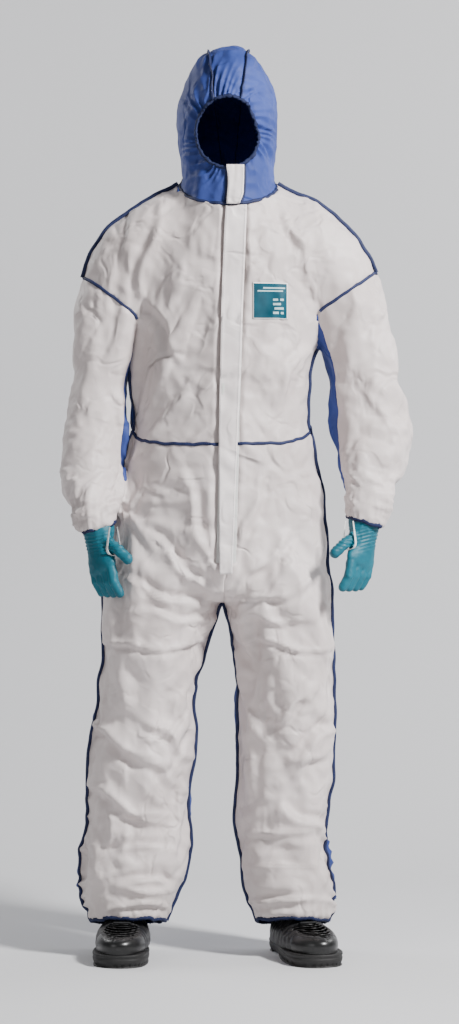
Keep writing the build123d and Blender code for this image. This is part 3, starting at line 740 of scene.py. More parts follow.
def fold(rest, node_name, start, end, width, height):
    """A crease on the front of a CAD panel, from one share of its box (x, z) to another: a ridge with a valley below."""
    low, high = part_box(node_name)
    a, b = [np.array((low.x + x * (high.x - low.x), low.z + z * (high.z - low.z))) for x, z in (start, end)]
    flat = rest[:, [0, 2]]
    run = b - a
    length = np.linalg.norm(run)
    along = np.clip((flat - a) @ run / length**2, 0, 1)
    wobble = 0.012 * np.sin(along * 7 + a[0] * 40) * np.sin(along * math.pi)
    side = np.array((-run[1], run[0])) / length
    off = (flat - a - along[:, None] * run) @ side - wobble
    past = np.linalg.norm(flat - a - along[:, None] * run, axis=1)
    shape = np.exp(-np.abs(off / width) ** 1.3) - 0.9 * np.exp(-((off + 1.6 * width) / width) ** 2)
    fade = np.sin(np.clip(along, 0.02, 0.98) * math.pi) ** 0.6 * np.exp(-((past / (4 * width)) ** 4))
    front = rest[:, 1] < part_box("side_binding_left")[0].y
    return height * shape * fade * front


def same_limb(rest, ring):
    """True for the points of the sleeve or leg that an elastic ring ends."""
    sleeve = (np.abs(rest[:, 0]) > ARM_X) & (rest[:, 2] > ARM_Z)
    return sleeve if ring.startswith("cuff") else ~sleeve


def pleats(rest, ring, count, height, reach, seed):
    """Gathers above an elastic ring: ridges round it that die away from it, some deeper than others."""
    edge, down, low, high = end_plane(ring)
    middle = np.array((np.array(low) + np.array(high)) / 2)
    inside = np.all((rest > np.array(low) - reach) & (rest < np.array(high) + reach), axis=1)
    up = -((rest - np.array(edge)) @ np.array(down))
    turn = np.arctan2(rest[:, 1] - middle[1], rest[:, 0] - middle[0])
    jitter = np.sin(3 * turn + seed) * 0.9 + np.sin(5 * turn + 2 * seed) * 0.5
    ridge = 1 - 2 * np.abs(np.sin(turn * count / 2 + jitter + up * 12))
    depth = 0.65 + 0.35 * np.sin(2 * turn + seed)
    fade = np.exp(-np.clip(up, 0, None) / reach) * np.clip((up + 0.004) / 0.012, 0.25, 1)
    return height * ridge * depth * fade * inside * same_limb(rest, ring)


def stacked(rest, ring, count, height, reach, seed):
    """Folds that lie round a leg or sleeve above its end, where spare length has slipped down."""
    edge, down, low, high = end_plane(ring)
    middle = np.array((np.array(low) + np.array(high)) / 2)
    inside = np.linalg.norm(rest[:, :2] - middle[:2], axis=1) < 0.16
    up = -((rest - np.array(edge)) @ np.array(down))
    turn = np.arctan2(rest[:, 1] - middle[1], rest[:, 0] - middle[0])
    drift = 0.7 * np.sin(9 * math.pi * up / reach + 4 * seed)
    level = up / reach * count + drift + 0.8 * np.sin(turn + seed) + 0.5 * np.sin(2 * turn - seed)
    ridge = 1 - 2 * np.abs(np.sin(level * math.pi / 2))
    fade = np.clip(up / 0.02, 0, 1) * np.clip(1 - up / reach, 0, 1) ** 0.7
    uneven = (0.6 + 0.4 * np.sin(3 * turn + 2 * seed)) * (0.7 + 0.3 * np.sin(13 * up / reach + seed))
    return height * ridge * fade * inside * same_limb(rest, ring) * uneven


def crumple(rest, scale, height, seed):
    """Sharp shallow ridges in no order, as laminated cloth keeps after it was packed flat."""
    shift = Vector((seed, 2 * seed, -seed))
    return np.array([height * (1 - 3 * abs(noise.noise(Vector(p) * scale + shift))) for p in rest])


def sink_under_zip(places, rest):
    """Draws the cloth in behind the zip tapes, so that the zip shows when the flap is open."""
    across, front = near_zip(rest)
    tapes = tree("zip_tape_left", "zip_tape_right")
    for i in np.nonzero(front & (across < 0.030))[0]:
        hit = tapes.find_nearest(Vector(rest[i]), 0.03)[0]
        if hit is not None:
            weight = 1 - max(0.0, (across[i] - 0.018) / 0.012)
            places[i, 1] += (hit.y + 0.0035 - places[i, 1]) * weight
    return places


FOLD_DEPTH = 1.7
FOLDS = [
    # node, start and end as shares of its box (x, z), width, height
    ("trouser_front_right", (0.02, 0.560), (0.93, 0.575), 0.006, 0.0040),
    ("trouser_front_left", (0.05, 0.575), (0.97, 0.560), 0.006, 0.0040),
    ("trouser_front_right", (0.95, 0.66), (0.45, 0.80), 0.010, 0.0050),
    ("trouser_front_right", (0.92, 0.64), (0.25, 0.70), 0.009, 0.0045),
    ("trouser_front_right", (0.95, 0.70), (0.70, 0.93), 0.010, 0.0045),
    ("trouser_front_left", (0.05, 0.66), (0.60, 0.80), 0.010, 0.0050),
    ("trouser_front_left", (0.08, 0.64), (0.80, 0.70), 0.009, 0.0045),
    ("trouser_front_left", (0.05, 0.70), (0.35, 0.93), 0.010, 0.0045),
    ("trouser_front_right", (-0.02, 0.41), (0.55, 0.34), 0.011, 0.0065),
    ("trouser_front_right", (-0.02, 0.29), (0.60, 0.21), 0.011, 0.0065),
    ("trouser_front_left", (1.02, 0.40), (0.50, 0.33), 0.011, 0.0065),
    ("trouser_front_left", (1.02, 0.16), (0.45, 0.25), 0.011, 0.0065),
    ("trouser_front_right", (0.98, 0.62), (0.30, 0.63), 0.008, 0.0035),
    ("trouser_front_left", (0.04, 0.62), (0.70, 0.62), 0.008, 0.0035),
    ("trouser_front_right", (0.45, 0.42), (0.80, 0.33), 0.010, 0.0050),
    ("trouser_front_right", (0.35, 0.36), (0.70, 0.28), 0.011, 0.0045),
    ("trouser_front_left", (0.30, 0.40), (0.75, 0.47), 0.010, 0.0050),
    ("trouser_front_left", (0.55, 0.30), (0.90, 0.36), 0.010, 0.0045),
    ("body_front_right", (0.55, 0.95), (0.35, 0.45), 0.011, 0.0045),
    ("body_front_right", (0.40, 0.62), (0.70, 0.30), 0.010, 0.0040),
    ("body_front_left", (0.35, 0.90), (0.55, 0.60), 0.010, 0.0035),
    ("body_front_left", (0.60, 0.45), (0.30, 0.15), 0.010, 0.0040),
]


def pressed(mesh):
    """Presses gathers, stacked folds, creases and crumples into the suit's worn mesh."""
    rest, places, normals = attribute(mesh, "rest", 3), coordinates(mesh), coordinates(mesh, "normal")
    push = crumple(rest, 13, 0.0022, 3.0) + crumple(rest, 31, 0.0011, 7.0)
    for entry in FOLDS:
        push += FOLD_DEPTH * fold(rest, *entry)
    for side, sign in SIDES.items():
        push += pleats(rest, f"cuff_elastic_{side}", 17, 0.0042, 0.030, 1.0 + sign)
        push += pleats(rest, f"ankle_elastic_{side}", 19, 0.0035, 0.022, 2.0 + sign)
        push += stacked(rest, f"ankle_elastic_{side}", 7, 0.0100, 0.28, 0.5 * sign)
        push += stacked(rest, f"cuff_elastic_{side}", 5, 0.0060, 0.17, 1.7 * sign)
    across, front = near_zip(rest)
    push *= np.where(front & (across < 0.03), 0.2, 1)
    move(mesh, sink_under_zip(places + normals * push[:, None], rest))


# ---- the suit -----------------------------------------------------------------------------------

CLOTH_THICK = 0.0007
FLAT, FIN = (0.0034, 0.0020, 0.0008), (0.0021, 0.0040, 0.0026)  # a piping's half width, half height and offset
BROAD, RIDGE = (0.0040, 0.0050, 0.0026), (0.0020, 0.0042, 0.0028)
PIPED = {
    # the two panels beside each binding, and its section
    "armhole_binding": ("sleeve", "body", FLAT), "shoulder_binding": ("body_front", "body_back", BROAD),
    "side_binding": ("body_front", "body_back", FIN), "waist_binding": ("body_front", "trouser_front", FLAT),
    "leg_binding": ("trouser_front", "trouser_back", FIN),
}


def piping(places, normals, section, closed=False):
    """A bound seam along a line on the cloth."""
    wide, high, off = section
    return sweep(places + normals * off, normals, wide, high, closed=closed)


def piped_lines(mesh, label, panels, rest, binding, side):
    """The worn seam lines that a CAD binding follows, with the cloth's normals along them."""
    kinds = PIPED[binding][:2]
    name = f"{binding}_{side}"
    home = tree(name)

    def wanted(a, b):
        if b is None:
            return False
        first, second = panels[a], panels[b]
        return (first.startswith(kinds[0]) and second.startswith(kinds[1])) or (
            second.startswith(kinds[0]) and first.startswith(kinds[1])
        )

    places, normals = coordinates(mesh), coordinates(mesh, "normal")
    found = []
    for line in chains(mesh, label, wanted):
        near = [home.find_nearest(Vector(rest[v]), 0.012)[0] is not None for v in line]
        start = None
        for i, here in enumerate(near + [False]):
            if here and start is None:
                start = i
            if not here and start is not None:
                if i - start > 5:
                    part = line[start:i]
                    found.append((places[part], normals[part], part[0] == part[-1]))
                start = None
    return found


def cut_areas(mesh, rest, label):
    """The area that each panel is cut to, before it is worn and creased."""
    flat = mesh.copy()
    move(flat, rest)
    area = np.empty(len(flat.polygons))
    flat.polygons.foreach_get("area", area)
    return np.bincount(label, area)


def declare(node_name):
    """Reads a CAD panel's box; nothing is done with it."""
    low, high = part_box(node_name)


def make_suit():
    plugs = [hull([ring]) for ring in [f"{kind}_elastic_{side}" for kind in ("ankle", "cuff") for side in SIDES]]
    plugs += [hull(["face_elastic"]), hull(["neck_binding"]), hull(["zip_tape_left", "zip_tape_right", "storm_flap"])]
    skin = filled(SUIT + HOOD, plugs, VOXEL)
    worn = drape(skin)
    neck = list(seam("body_front_left", "hood_left"))
    if neck[1].z < 0:
        neck[1] = -neck[1]
    neck[2:] = (np.array((-1, -1, 1.3)), np.array((1, 1, 9)))
    ends = [tuple(neck)] + [end_plane(f"{kind}_elastic_{side}") for kind in ("ankle", "cuff") for side in SIDES]
    mesh = tailor(skin, worn, SUIT, ends, VOXEL)
    pressed(mesh)
    rest, label = attribute(mesh, "rest", 3), attribute(mesh, "panel", 1)
    areas = cut_areas(mesh, rest, label)
    for number, name in enumerate(SUIT):
        blue = name.startswith(BLUE)
        made = piece(
            f"{name}_cloth", panel_mesh(mesh, label, number, CLOTH_THICK),
            BLUE_CLOTH if blue else WHITE_CLOTH, "suit", "blue_cloth" if blue else "white_cloth", name,
        )
        declare(name)
    for binding, (_, _, section) in PIPED.items():
        for side in SIDES:
            lines = piped_lines(mesh, label, SUIT, rest, binding, side)
            tubes = [piping(p, n, section, closed) for p, n, closed in lines]
            piece(f"{binding}_{side}_piping", merged(tubes), PIPING, "suit", "binding", f"{binding}_{side}")
    for kind in ("ankle", "cuff"):
        for side in SIDES:
            make_end_elastic(mesh, label, rest, f"{kind}_elastic_{side}")
    return mesh


def make_end_elastic(mesh, label, rest, ring):
    """The gathered elastic edge of a cuff or hem."""
    edge, down, low, high = end_plane(ring)
    places, normals = coordinates(mesh), coordinates(mesh, "normal")
    found = []
    for line in chains(mesh, label, lambda a, b: b is None):
        middle = rest[line].mean(0)
        if np.all((middle > low) & (middle < high)):
            found.append(sweep(
                places[line[:-1]] + normals[line[:-1]] * 0.0008, normals[line[:-1]], 0.0040, 0.0028,
                closed=True, ripple=lambda at: 0.25 * math.sin(at * 2 * math.pi / 0.009),
            ))
    if found:
        piece(f"{ring}_edge", merged(found), ELASTIC, "suit", "elastic", ring)


# ---- the hood -----------------------------------------------------------------------------------

HOOD_VOXEL = 0.0045
HOOD_KEEP = 0.28  # how flat the hood would lie turned back; own_mesh is handed it and does not read it


def face_field(rest):
    """How far points are outside the face opening's edge, as seen from the front, in metres, and their turn round it."""
    low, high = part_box("face_elastic")
    half = (high - low) / 2
    middle = (low + high) / 2
    x, z = (rest[:, 0] - middle.x) / half.x, (rest[:, 2] - middle.z) / half.z
    return (np.hypot(x, z) - 1) * half.x, np.arctan2(z, x)


def squashed(made):
    """Gives a piece of the hood its own copy of its mesh; the neck seam and keep handed on are not read."""
    neck = seam("body_front_left", "hood_left")
    up = neck[1] if neck[1].z > 0 else -neck[1]
    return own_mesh(made, "hood_fold", axis=tuple(up), anchor=tuple(neck[0]), keep=HOOD_KEEP)


def hood_shape(mesh):
    """Presses the gathers round the face and the soft upright folds into the hood."""
    rest, places, normals = attribute(mesh, "rest", 3), coordinates(mesh), coordinates(mesh, "normal")
    out, turn = face_field(rest)
    front = np.clip((0.02 - rest[:, 1]) / 0.05, 0, 1)
    jitter = 0.8 * np.sin(4 * turn) + 0.5 * np.sin(7 * turn + 1) + 0.3 * np.sin(13 * turn)
    ridge = 1 - 2 * np.abs(np.sin(18 * turn + 1.6 * jitter + 5 * out / 0.05))
    reach = 0.026 + 0.018 * np.clip(np.sin(turn), 0, 1) + 0.008 * np.sin(11 * turn)
    depth = 0.0042 * (0.7 + 0.3 * np.sin(3 * turn + 2) + 0.3 * np.sin(8 * turn))
    push = depth * ridge * np.exp(-((np.clip(out, 0, None) / reach) ** 1.5)) * front
    push += np.array([
        0.0060 * noise.noise(Vector((p[0] * 26, p[1] * 20, p[2] * 9))) for p in rest
    ]) * np.clip(out / 0.02, 0.2, 1)
    push += crumple(rest, 30, 0.0013, 5.0)
    low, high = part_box("hood_left")
    steep = np.abs((rest[:, 2] - (high.z * 0.45 + low.z * 0.55)) + (rest[:, 0] - high.x * 0.62) * 2.4)
    push -= 0.007 * np.exp(-((steep / 0.014) ** 2)) * (rest[:, 0] > 0.03) * front
    for seam_node in ("hood_seam_left", "hood_seam_right"):
        line = tree(seam_node)
        near = [line.find_nearest(Vector(p), 0.02)[3] for p in rest]
        push -= np.array([0.0016 * math.exp(-((d / 0.006) ** 2)) if d is not None else 0 for d in near])
    move(mesh, places + normals * push[:, None])


def make_hood():
    plugs = [hull(["face_elastic"]), hull(["neck_binding"])]
    skin = filled(HOOD, plugs, HOOD_VOXEL)
    neck = list(seam("body_front_left", "hood_left"))
    if neck[1].z > 0:
        neck[1] = -neck[1]
    neck[2:] = (np.array((-1, -1, 1.3)), np.array((1, 1, 9)))
    mesh = tailor(skin, coordinates(skin), HOOD, [tuple(neck)], HOOD_VOXEL)
    hood_shape(mesh)
    mesh = open_face(mesh)
    rest, label = attribute(mesh, "rest", 3), attribute(mesh, "panel", 1)
    areas = cut_areas(mesh, rest, label)
    for number, name in enumerate(HOOD):
        shape = panel_mesh(mesh, label, number, CLOTH_THICK)
        made = squashed(piece(f"{name}_cloth", shape, BLUE_CLOTH, "suit", "hood_cloth", name))
        declare(name)
    places, normals = coordinates(mesh), coordinates(mesh, "normal")
    for side in SIDES:
        number = HOOD.index(f"hood_{side}")
        lines = chains(mesh, label, lambda a, b: b is not None and {a, b} == {0, number})
        tubes = [piping(places[line], normals[line], RIDGE) for line in lines]
        squashed(piece(f"hood_seam_{side}_ridge", merged(tubes), PIPING, "suit", "binding", f"hood_seam_{side}"))
    rims, collars = [], []
    for line in chains(mesh, label, lambda a, b: b is None):
        out = face_field(rest[line])[0]
        (rims if np.abs(out).mean() < 0.004 and rest[line][:, 1].mean() < 0.0 else collars).append(line)
    rim = [
        sweep(places[li] + normals[li] * 0.0005, normals[li], 0.0042, 0.0030, closed=li[0] == li[-1],
              ripple=lambda at: 0.22 * math.sin(at * 2 * math.pi / 0.010) + 0.1 * math.sin(at * 2 * math.pi / 0.023))
        for li in rims
    ]
    squashed(piece("face_elastic_rim", merged(rim), ELASTIC, "suit", "elastic", "face_elastic"))
    collar = [piping(places[li], normals[li], FLAT, li[0] == li[-1]) for li in collars]
    piece("neck_binding_piping", merged(collar), PIPING, "suit", "binding", "neck_binding")
    return mesh


EDGE_ROUNDS = 12


def on_face_edge(place):
    """The point moved straight across onto the face opening's edge, as seen from the front."""
    low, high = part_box("face_elastic")
    middle = (low + high) / 2
    shrink = 1 / (1 + face_field(np.array([place]))[0][0] / ((high.x - low.x) / 2))
    return Vector((middle.x + (place.x - middle.x) * shrink, place.y, middle.z + (place.z - middle.z) * shrink))


def open_face(mesh):
    """Opens the face of the hood and brings the opening's edge onto its even curve."""
    work = bmesh.new()
    work.from_mesh(mesh)
    rest_at = work.verts.layers.float_vector["rest"]
    centres = np.array([sum((v[rest_at] for v in f.verts), Vector()) / len(f.verts) for f in work.faces])
    out = face_field(centres)[0]
    gone = [f for f, o, c in zip(work.faces, out, centres) if o < -0.0005 and c[1] < 0.0]
    bmesh.ops.delete(work, geom=gone, context="FACES")
    edge = {v: [] for v in work.verts if v.is_boundary and abs(face_field(np.array([v[rest_at]]))[0][0]) < 0.008}
    for vert, pair in edge.items():
        pair += [e.other_vert(vert) for e in vert.link_edges if e.is_boundary and e.other_vert(vert) in edge]
    for _ in range(EDGE_ROUNDS):
        even = {
            v: ((v.co * 2 + a.co + b.co) / 4, (v[rest_at] * 2 + a[rest_at] + b[rest_at]) / 4)
            for v, (a, b) in ((v, pair) for v, pair in edge.items() if len(pair) == 2)
        }
        for vert, (place, rest) in even.items():
            onto = on_face_edge(rest) - rest
            vert.co = place + onto
            vert[rest_at] = rest + onto
    made = bpy.data.meshes.new("open")
    work.to_mesh(made)
    work.free()
    return made


# ---- flaps and front ----------------------------------------------------------------------------


def outline(node_name, shares):
    """An upright CAD strip seen from the front: x, lowest z and highest z at shares of its width, x by height."""
    low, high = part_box(node_name)
    home = tree(node_name)

    def there(x, z):
        return home.ray_cast(Vector((x, -1, z)), Vector((0, 1, 0)))[0] is not None

    rows = []
    for z in np.arange(low.z + 0.001, high.z, 0.004):
        hits = [x for x in np.arange(low.x - 0.0005, high.x + 0.001, 0.0005) if there(x, z)]
        if hits:
            rows.append((z, hits[0], hits[-1]))
    heights, left, right = np.array(rows).T
    whole = right - left > 0.85 * np.interp(heights, heights, np.maximum(right - left, np.median(right - left) * 0.7))
    left, right = [np.convolve(np.pad(e[whole], 4, mode="edge"), np.ones(9) / 9, "valid") for e in (left, right)]
    heights = heights[whole]

    def x_at(share, z):
        return np.interp(z, heights, left) * (1 - share) + np.interp(z, heights, right) * share

    spans = []
    for share in np.clip(shares, 0.08, 0.92):
        up = next(z for z in np.arange(high.z, low.z, -0.0005) if there(x_at(share, z), z))
        down = next(z for z in np.arange(low.z, high.z, 0.0005) if there(x_at(share, z), z))
        spans.append((down, up))
    return x_at, spans


def smoothed(values, width):
    return np.convolve(np.pad(values, width // 2, mode="edge"), np.ones(width) / width, "valid")


def strip(node_name, under, lift, thick=0.0012, wave=0.0022, columns=13, step=0.005, reach=1.0):
    """A strip of doubled cloth hung over other cloth, lift from it at its two ends, and a share of its node's width."""
    across = np.linspace(0, reach, columns)
    x_at, spans = outline(node_name, across)
    count = int((spans[0][1] - spans[0][0]) / step)
    along = np.linspace(0, 1, count)
    x, z = np.empty((count, columns)), np.empty((count, columns))
    depth = np.full((count, columns), np.nan)
    for k, (share, (down, up)) in enumerate(zip(across, spans)):
        z[:, k] = down + along * (up - down)
        x[:, k] = x_at(share, z[:, k])
        for i in range(count):
            hit = under.ray_cast(Vector((x[i, k], -1, z[i, k])), Vector((0, 1, 0)))[0]
            depth[i, k] = hit.y if hit is not None else np.nan
        good = ~np.isnan(depth[:, k])
        depth[:, k] = smoothed(np.interp(along, along[good], depth[good, k]), 7)
    depth = np.minimum(depth, depth.mean(1)[:, None])
    fronts, backs = [], []
    for i in range(count):
        for k, share in enumerate(across):
            ripple = 2 * wave * (1 - share) ** 2 * noise.noise(Vector((0.3, share, z[i, k] * 26)))
            soft = 0.0010 * noise.noise(Vector((x[i, k] * 60, 2.0, z[i, k] * 30)))
            rounding = 0.45 + 0.55 * math.sin(math.pi * share) ** 0.25
            y = depth[i, k] - np.interp(along[i], (0, 1), lift) + ripple + soft
            fronts.append((x[i, k], y - thick * rounding, z[i, k]))
            backs.append((x[i, k], y, z[i, k]))
    mesh = slab(fronts, backs, columns)
    edges = [np.array(fronts)[k::columns] for k in (1, columns - 2)]
    return mesh, edges


def slab(fronts, backs, columns):
    """A closed thin solid between a front and a back grid of points, as rows of columns."""
    count, rows = len(fronts), len(fronts) // columns
    faces = []
    for i in range(rows - 1):
        for k in range(columns - 1):
            a = i * columns + k
            faces.append((a, a + 1, a + columns + 1, a + columns))
            faces.append((count + a, count + a + columns, count + a + columns + 1, count + a + 1))
        a, b = i * columns, i * columns + columns - 1
        faces.append((a, a + columns, count + a + columns, count + a))
        faces.append((b, count + b, count + b + columns, b + columns))
    top = (rows - 1) * columns
    for k in range(columns - 1):
        faces.append((k, count + k, count + k + 1, k + 1))
        faces.append((top + k, top + k + 1, count + top + k + 1, count + top + k))
    return mesh_of("slab", fronts + backs, faces)


def stitch_row(line, material, name, body, slot, half=0.0009):
    """A row of single stitches along a line: short thread bars with gaps."""
    line = np.asarray(line, float)
    far = np.concatenate([[0], np.cumsum(np.linalg.norm(np.diff(line, axis=0), axis=1))])
    bars = []
    for start in np.arange(0.002, far[-1] - 0.005, 0.0062):
        at = np.linspace(start, start + 0.0044, 4)
        path = np.array([np.interp(at, far, line[:, i]) for i in range(3)]).T
        bars.append(sweep(path, np.tile((0, -1, 0), (4, 1)), half * 0.5, half * 0.45, around=5, step=0.0015))
    return piece(name, merged(bars), material, body, slot)


def surface(mesh):
    """A search tree of a mesh's faces."""
    return BVHTree.FromPolygons([v.co for v in mesh.vertices], [list(f.vertices) for f in mesh.polygons])


def hang(node_name, mesh, edges, body):
    """Shows a flap, a strip as long as its edges, with a row of stitches along each side."""
    # The flap cloth is the white cloth painted lighter, as painted light on the raised flap.
    made = piece(f"{node_name}_cloth", mesh, LIT_FLAP_CLOTH, body, "white_cloth", node_name)
    rows = [
        stitch_row(line - np.array((0, 0.0002, 0)), THREAD, f"{node_name}_stitches_{number + 1}", body, "white_cloth")
        for number, line in enumerate(edges)
    ]
    length = float(np.linalg.norm(np.diff(edges[0], axis=0), axis=1).sum())
    return [made, *rows]


LIFT = 0.0095  # the storm flap's, over the zip
CHIN_TOP_LIFT, CHIN_SHARE = 0.0045, 0.8  # the chin flap's lift at its top, and how much of its node's width shows


def make_flaps(suit_mesh, hood_mesh):
    front, hood_front = surface(suit_mesh), surface(hood_mesh)
    hang("storm_flap", *strip("storm_flap", front, (LIFT, LIFT)), "storm_flap")
    tape, _ = strip("flap_tape", front, (LIFT - 0.0007, LIFT - 0.0007), thick=0.0005, wave=0.0)
    piece("flap_tape_strip", tape, ADHESIVE, "storm_flap", "adhesive", "flap_tape")
    mesh, edges = strip("chin_flap", hood_front, (LIFT, CHIN_TOP_LIFT), columns=11, wave=0.001, reach=CHIN_SHARE)
    for made in hang("chin_flap", mesh, edges, "suit"):
        squashed(made)
    for side, edge in zip(SIDES, edges):
        path = []
        for place in edge:
            x = place[0] + SIDES[side] * FRONT_GAP
            hit = hood_front.ray_cast(Vector((x, -1, place[2])), Vector((0, 1, 0)))[0]
            if hit is not None:
                path.append(hit)
        facing = np.tile((0, -1, 0), (len(path), 1))
        edge_mesh = piping(np.array(path), facing, FLAT)
        squashed(piece(f"hood_front_binding_{side}", edge_mesh, PIPING, "suit", "binding"))


FRONT_GAP = 0.0045  # from the chin flap's stitches to the bound front edge of the hood
LABEL_GRID = 24


def make_label(suit_mesh):
    """The square label, a thin film that follows the chest under it."""
    low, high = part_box("chest_label")
    under = surface(suit_mesh)
    places = []
    for z in np.linspace(low.z, high.z, LABEL_GRID):
        for x in np.linspace(low.x, high.x, LABEL_GRID):
            hits = [
                under.ray_cast(Vector((x + dx, -1, z + dz)), Vector((0, 1, 0)))[0].y
                for dx in (-0.008, 0, 0.008) for dz in (-0.008, 0, 0.008)
            ]
            places.append(np.array((x, min(np.mean(hits), hits[4]), z)))
    fronts, backs = [[p - np.array((0, off, 0)) for p in places] for off in (0.0012, 0.0004)]
    film = slab(fronts, backs, LABEL_GRID)
    piece("chest_label_film", film, printed_label("chest_label_print", low, high), "suit", "label", "chest_label")


# ---- gloves, loops and shoes --------------------------------------------------------------------


def make_glove(side):
    """A seamless dipped glove: the CAD hand softened, open at its rolled rim, with small wrinkles at the wrist."""
    name = f"glove_{side}"
    low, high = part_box(name)
    skin = filled([name], [hull([name], high.z - 0.09)], 0.0018)
    mesh = applied(skin, ("SMOOTH", {"factor": 0.5, "iterations": 5}))
    places, normals = coordinates(mesh), coordinates(mesh, "normal")
    push = crumple(places, 55, 0.0006, 2.0)
    wrist = np.exp(-(((places[:, 2] - (high.z - 0.095)) / 0.02) ** 2))
    push += 0.0010 * wrist * np.sin(places[:, 2] * 900 + 4 * np.sin(places[:, 0] * 60))
    move(mesh, places + normals * push[:, None])
    shell, rim = opened(mesh, name)
    piece(f"{name}_skin", shell, RUBBER, name, "glove_rubber", name)
    piece(f"{name}_rim", rim, RUBBER, name, "glove_rubber")


def opened(mesh, node_name):
    """A closed glove cut open below its top, with walls, and the bead round its rim."""
    places = points(node_name)
    low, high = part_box(node_name)
    top = places[places[:, 2] > high.z - RIM_BAND]
    middle = top.mean(0)
    work = bmesh.new()
    work.from_mesh(mesh)
    geometry = list(work.verts) + list(work.edges) + list(work.faces)
    bmesh.ops.bisect_plane(
        work, geom=geometry, plane_co=(middle[0], middle[1], high.z - RIM_BAND), plane_no=(0, 0, 1), clear_outer=True
    )
    cut_mesh = bpy.data.meshes.new("opened")
    work.to_mesh(cut_mesh)
    work.free()
    label = np.zeros(len(cut_mesh.polygons), int)
    places, normals = coordinates(cut_mesh), coordinates(cut_mesh, "normal")
    beads = [
        sweep(places[line[:-1]], normals[line[:-1]], 0.0011, 0.0011, closed=True)
        for line in chains(cut_mesh, label, lambda a, b: b is None)
    ]
    return applied(cut_mesh, ("SOLIDIFY", {"thickness": 0.0006, "offset": -1})), merged(beads)


RIM_BAND = 0.004  # of the glove's top, which its opening takes


def softened(node_name, voxel, iterations=4):
    """A CAD node's shape with its edges rounded."""
    return applied(
        NODES[node_name].data.copy(), ("REMESH", {"mode": "VOXEL", "voxel_size": voxel}),
        ("SMOOTH", {"factor": 0.5, "iterations": iterations}),
    )


LOOP_TAPER = 0.5  # a thumb loop's two strands are this much nearer each other at the cuff


def make_loop(side):
    """The elastic loop round the thumb, its strands drawn together where they go into the cuff."""
    name = f"thumb_loop_{side}"
    mesh = softened(name, 0.0006, 3)
    places = coordinates(mesh)
    low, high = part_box(name)
    level = (places[:, 2] - low.z) / (high.z - low.z)
    middle = np.array((low + high) / 2)[:2]
    places[:, :2] = middle + (places[:, :2] - middle) * (1 - LOOP_TAPER * level)[:, None]
    move(mesh, places)
    piece(f"{name}_band", mesh, WHITE_ELASTIC, "suit", "white_elastic", name)


def make_shoe(side):
    body = f"shoe_{side}"
    upper, cap, sole = [f"shoe_{part}_{side}" for part in ("upper", "toe_cap", "sole")]
    mesh = softened(upper, 0.0022)
    places, normals = coordinates(mesh), coordinates(mesh, "normal")
    low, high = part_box(cap)
    bend = np.clip((places[:, 2] - low.z) / (high.z - low.z), 0, 1)
    push = 0.0011 * bend * np.sin(places[:, 1] * 330 + 3 * np.sin(places[:, 0] * 40)) + crumple(places, 40, 0.0007, 4.0)
    move(mesh, places + normals * push[:, None])
    piece(f"{upper}_leather", mesh, LEATHER, body, "shoe_leather", upper)
    piece(f"{cap}_shell", softened(cap, 0.0011, 6), TOE_CAP, body, "toe_cap", cap)
    mesh = softened(sole, 0.0016, 3)
    low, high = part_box(sole)
    places, normals = coordinates(mesh), coordinates(mesh, "normal")
    level = (places[:, 2] - low.z) / (high.z - low.z)
    side_on = 1 - np.abs(normals[:, 2])
    welt = np.exp(-(((level - 0.72) / 0.07) ** 2))
    tread = (np.sin((places[:, 0] + places[:, 1]) * TREAD) > 0.2) * (level < 0.30)
    rolled = np.clip(1 - level / 0.7, 0, 1) ** 2
    move(mesh, places - normals * (side_on * (0.0014 * welt + 0.0016 * tread + 0.0055 * rolled))[:, None])
    piece(f"{sole}_rubber", mesh, SOLE, body, "sole_rubber", sole)
    laces = f"shoe_laces_{side}"
    piece(f"{laces}_cord", softened(laces, 0.0008, 3), LACES, body, "laces", laces)


TREAD = 2 * math.pi / 0.016  # one block of the sole's tread each 16 mm


def dress(names, material):
    """Gives CAD nodes that stay as they are their material."""
    for name in names:
        slots = NODES[name].material_slots
        if slots:
            slots[0].material = material
        else:
            NODES[name].data.materials.append(material)


# ---- studio -------------------------------------------------------------------------------------


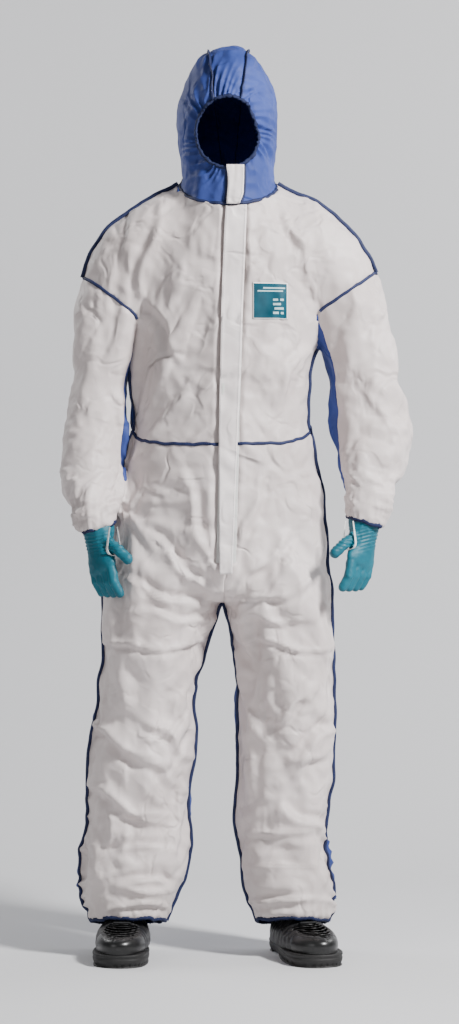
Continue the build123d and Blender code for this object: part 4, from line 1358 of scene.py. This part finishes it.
def make_studio():
    scene = bpy.context.scene
    low, high = CAD_BOX
    sweep_profile = [(-3.5, low.z), (1.2, low.z)]
    for i in range(13):
        turn = math.pi / 2 * i / 12
        sweep_profile.append((1.2 + 1.2 * math.sin(turn), low.z + 1.2 * (1 - math.cos(turn))))
    sweep_profile.append((2.4, low.z + 5))
    places = [(x, y, z) for y, z in sweep_profile for x in (-6, 6)]
    faces = [(2 * i, 2 * i + 1, 2 * i + 3, 2 * i + 2) for i in range(len(sweep_profile) - 1)]
    mesh = mesh_of("backdrop", places, faces)
    mesh.polygons.foreach_set("use_smooth", [True] * len(mesh.polygons))
    backdrop = bpy.data.objects.new("backdrop", mesh)
    scene.collection.objects.link(backdrop)
    material, _, principled, _ = shader("backdrop_paper", Roughness=0.9)
    principled.inputs["Base Color"].default_value = (0.60, 0.60, 0.61, 1)
    mesh.materials.append(material)
    middle = (low + high) / 2
    for name, place, size, power in LIGHTS:
        light = bpy.data.lights.new(name, "AREA")
        light.size = size
        light.energy = power
        made = bpy.data.objects.new(name, light)
        scene.collection.objects.link(made)
        made.location = place
        made.rotation_euler = (middle - Vector(place)).to_track_quat("-Z", "Y").to_euler()
    world = bpy.data.worlds.new("studio")
    world.use_nodes = True
    world.node_tree.nodes["Background"].inputs["Color"].default_value = (0.92, 0.94, 1.0, 1)
    world.node_tree.nodes["Background"].inputs["Strength"].default_value = 0.17
    scene.world = world
    camera = bpy.data.cameras.new("camera")
    camera.sensor_fit = "VERTICAL"
    camera.angle = CAMERA_ANGLE
    made = bpy.data.objects.new("camera", camera)
    scene.collection.objects.link(made)
    made.location = (middle.x + CAMERA_X, -CAMERA_AWAY, CAMERA_HEIGHT)
    made.rotation_euler = (math.pi / 2, 0, 0)
    scene.camera = made


LIGHTS = [
    # name, place, size, power
    ("key", (2.5, -2.2, 3.3), 0.6, 400),
    ("fill", (-3.0, -3.4, 1.7), 2.0, 30),
    ("rim_left", (-2.2, 1.4, 2.6), 1.2, 35),
    ("rim_right", (2.4, 1.2, 2.4), 1.2, 30),
]
CAMERA_X, CAMERA_AWAY, CAMERA_HEIGHT = -0.0127, 5.66, 0.905
CAMERA_ANGLE = 2 * math.atan(512 / 2770)

make_studio()
suit = make_suit()
hood = make_hood()
make_flaps(suit, hood)
make_label(suit)
for side_name in SIDES:
    make_glove(side_name)
    make_loop(side_name)
    make_shoe(side_name)
    tape_name = f"zip_tape_{side_name}"
    piece(f"{tape_name}_cloth", softened(tape_name, 0.0009, 1), ZIP_TAPE, "suit", "zip_tape", tape_name)
    dress([f"zip_teeth_{side_name}"], ZIP_TEETH)
dress(["zip_slider", "zip_pull", "zip_top_stop", "zip_bottom_stop"], ZIP_METAL)
piece("waist_elastic_band", softened("waist_elastic", 0.0016, 2), WAIST_ELASTIC, "suit", "elastic", "waist_elastic")
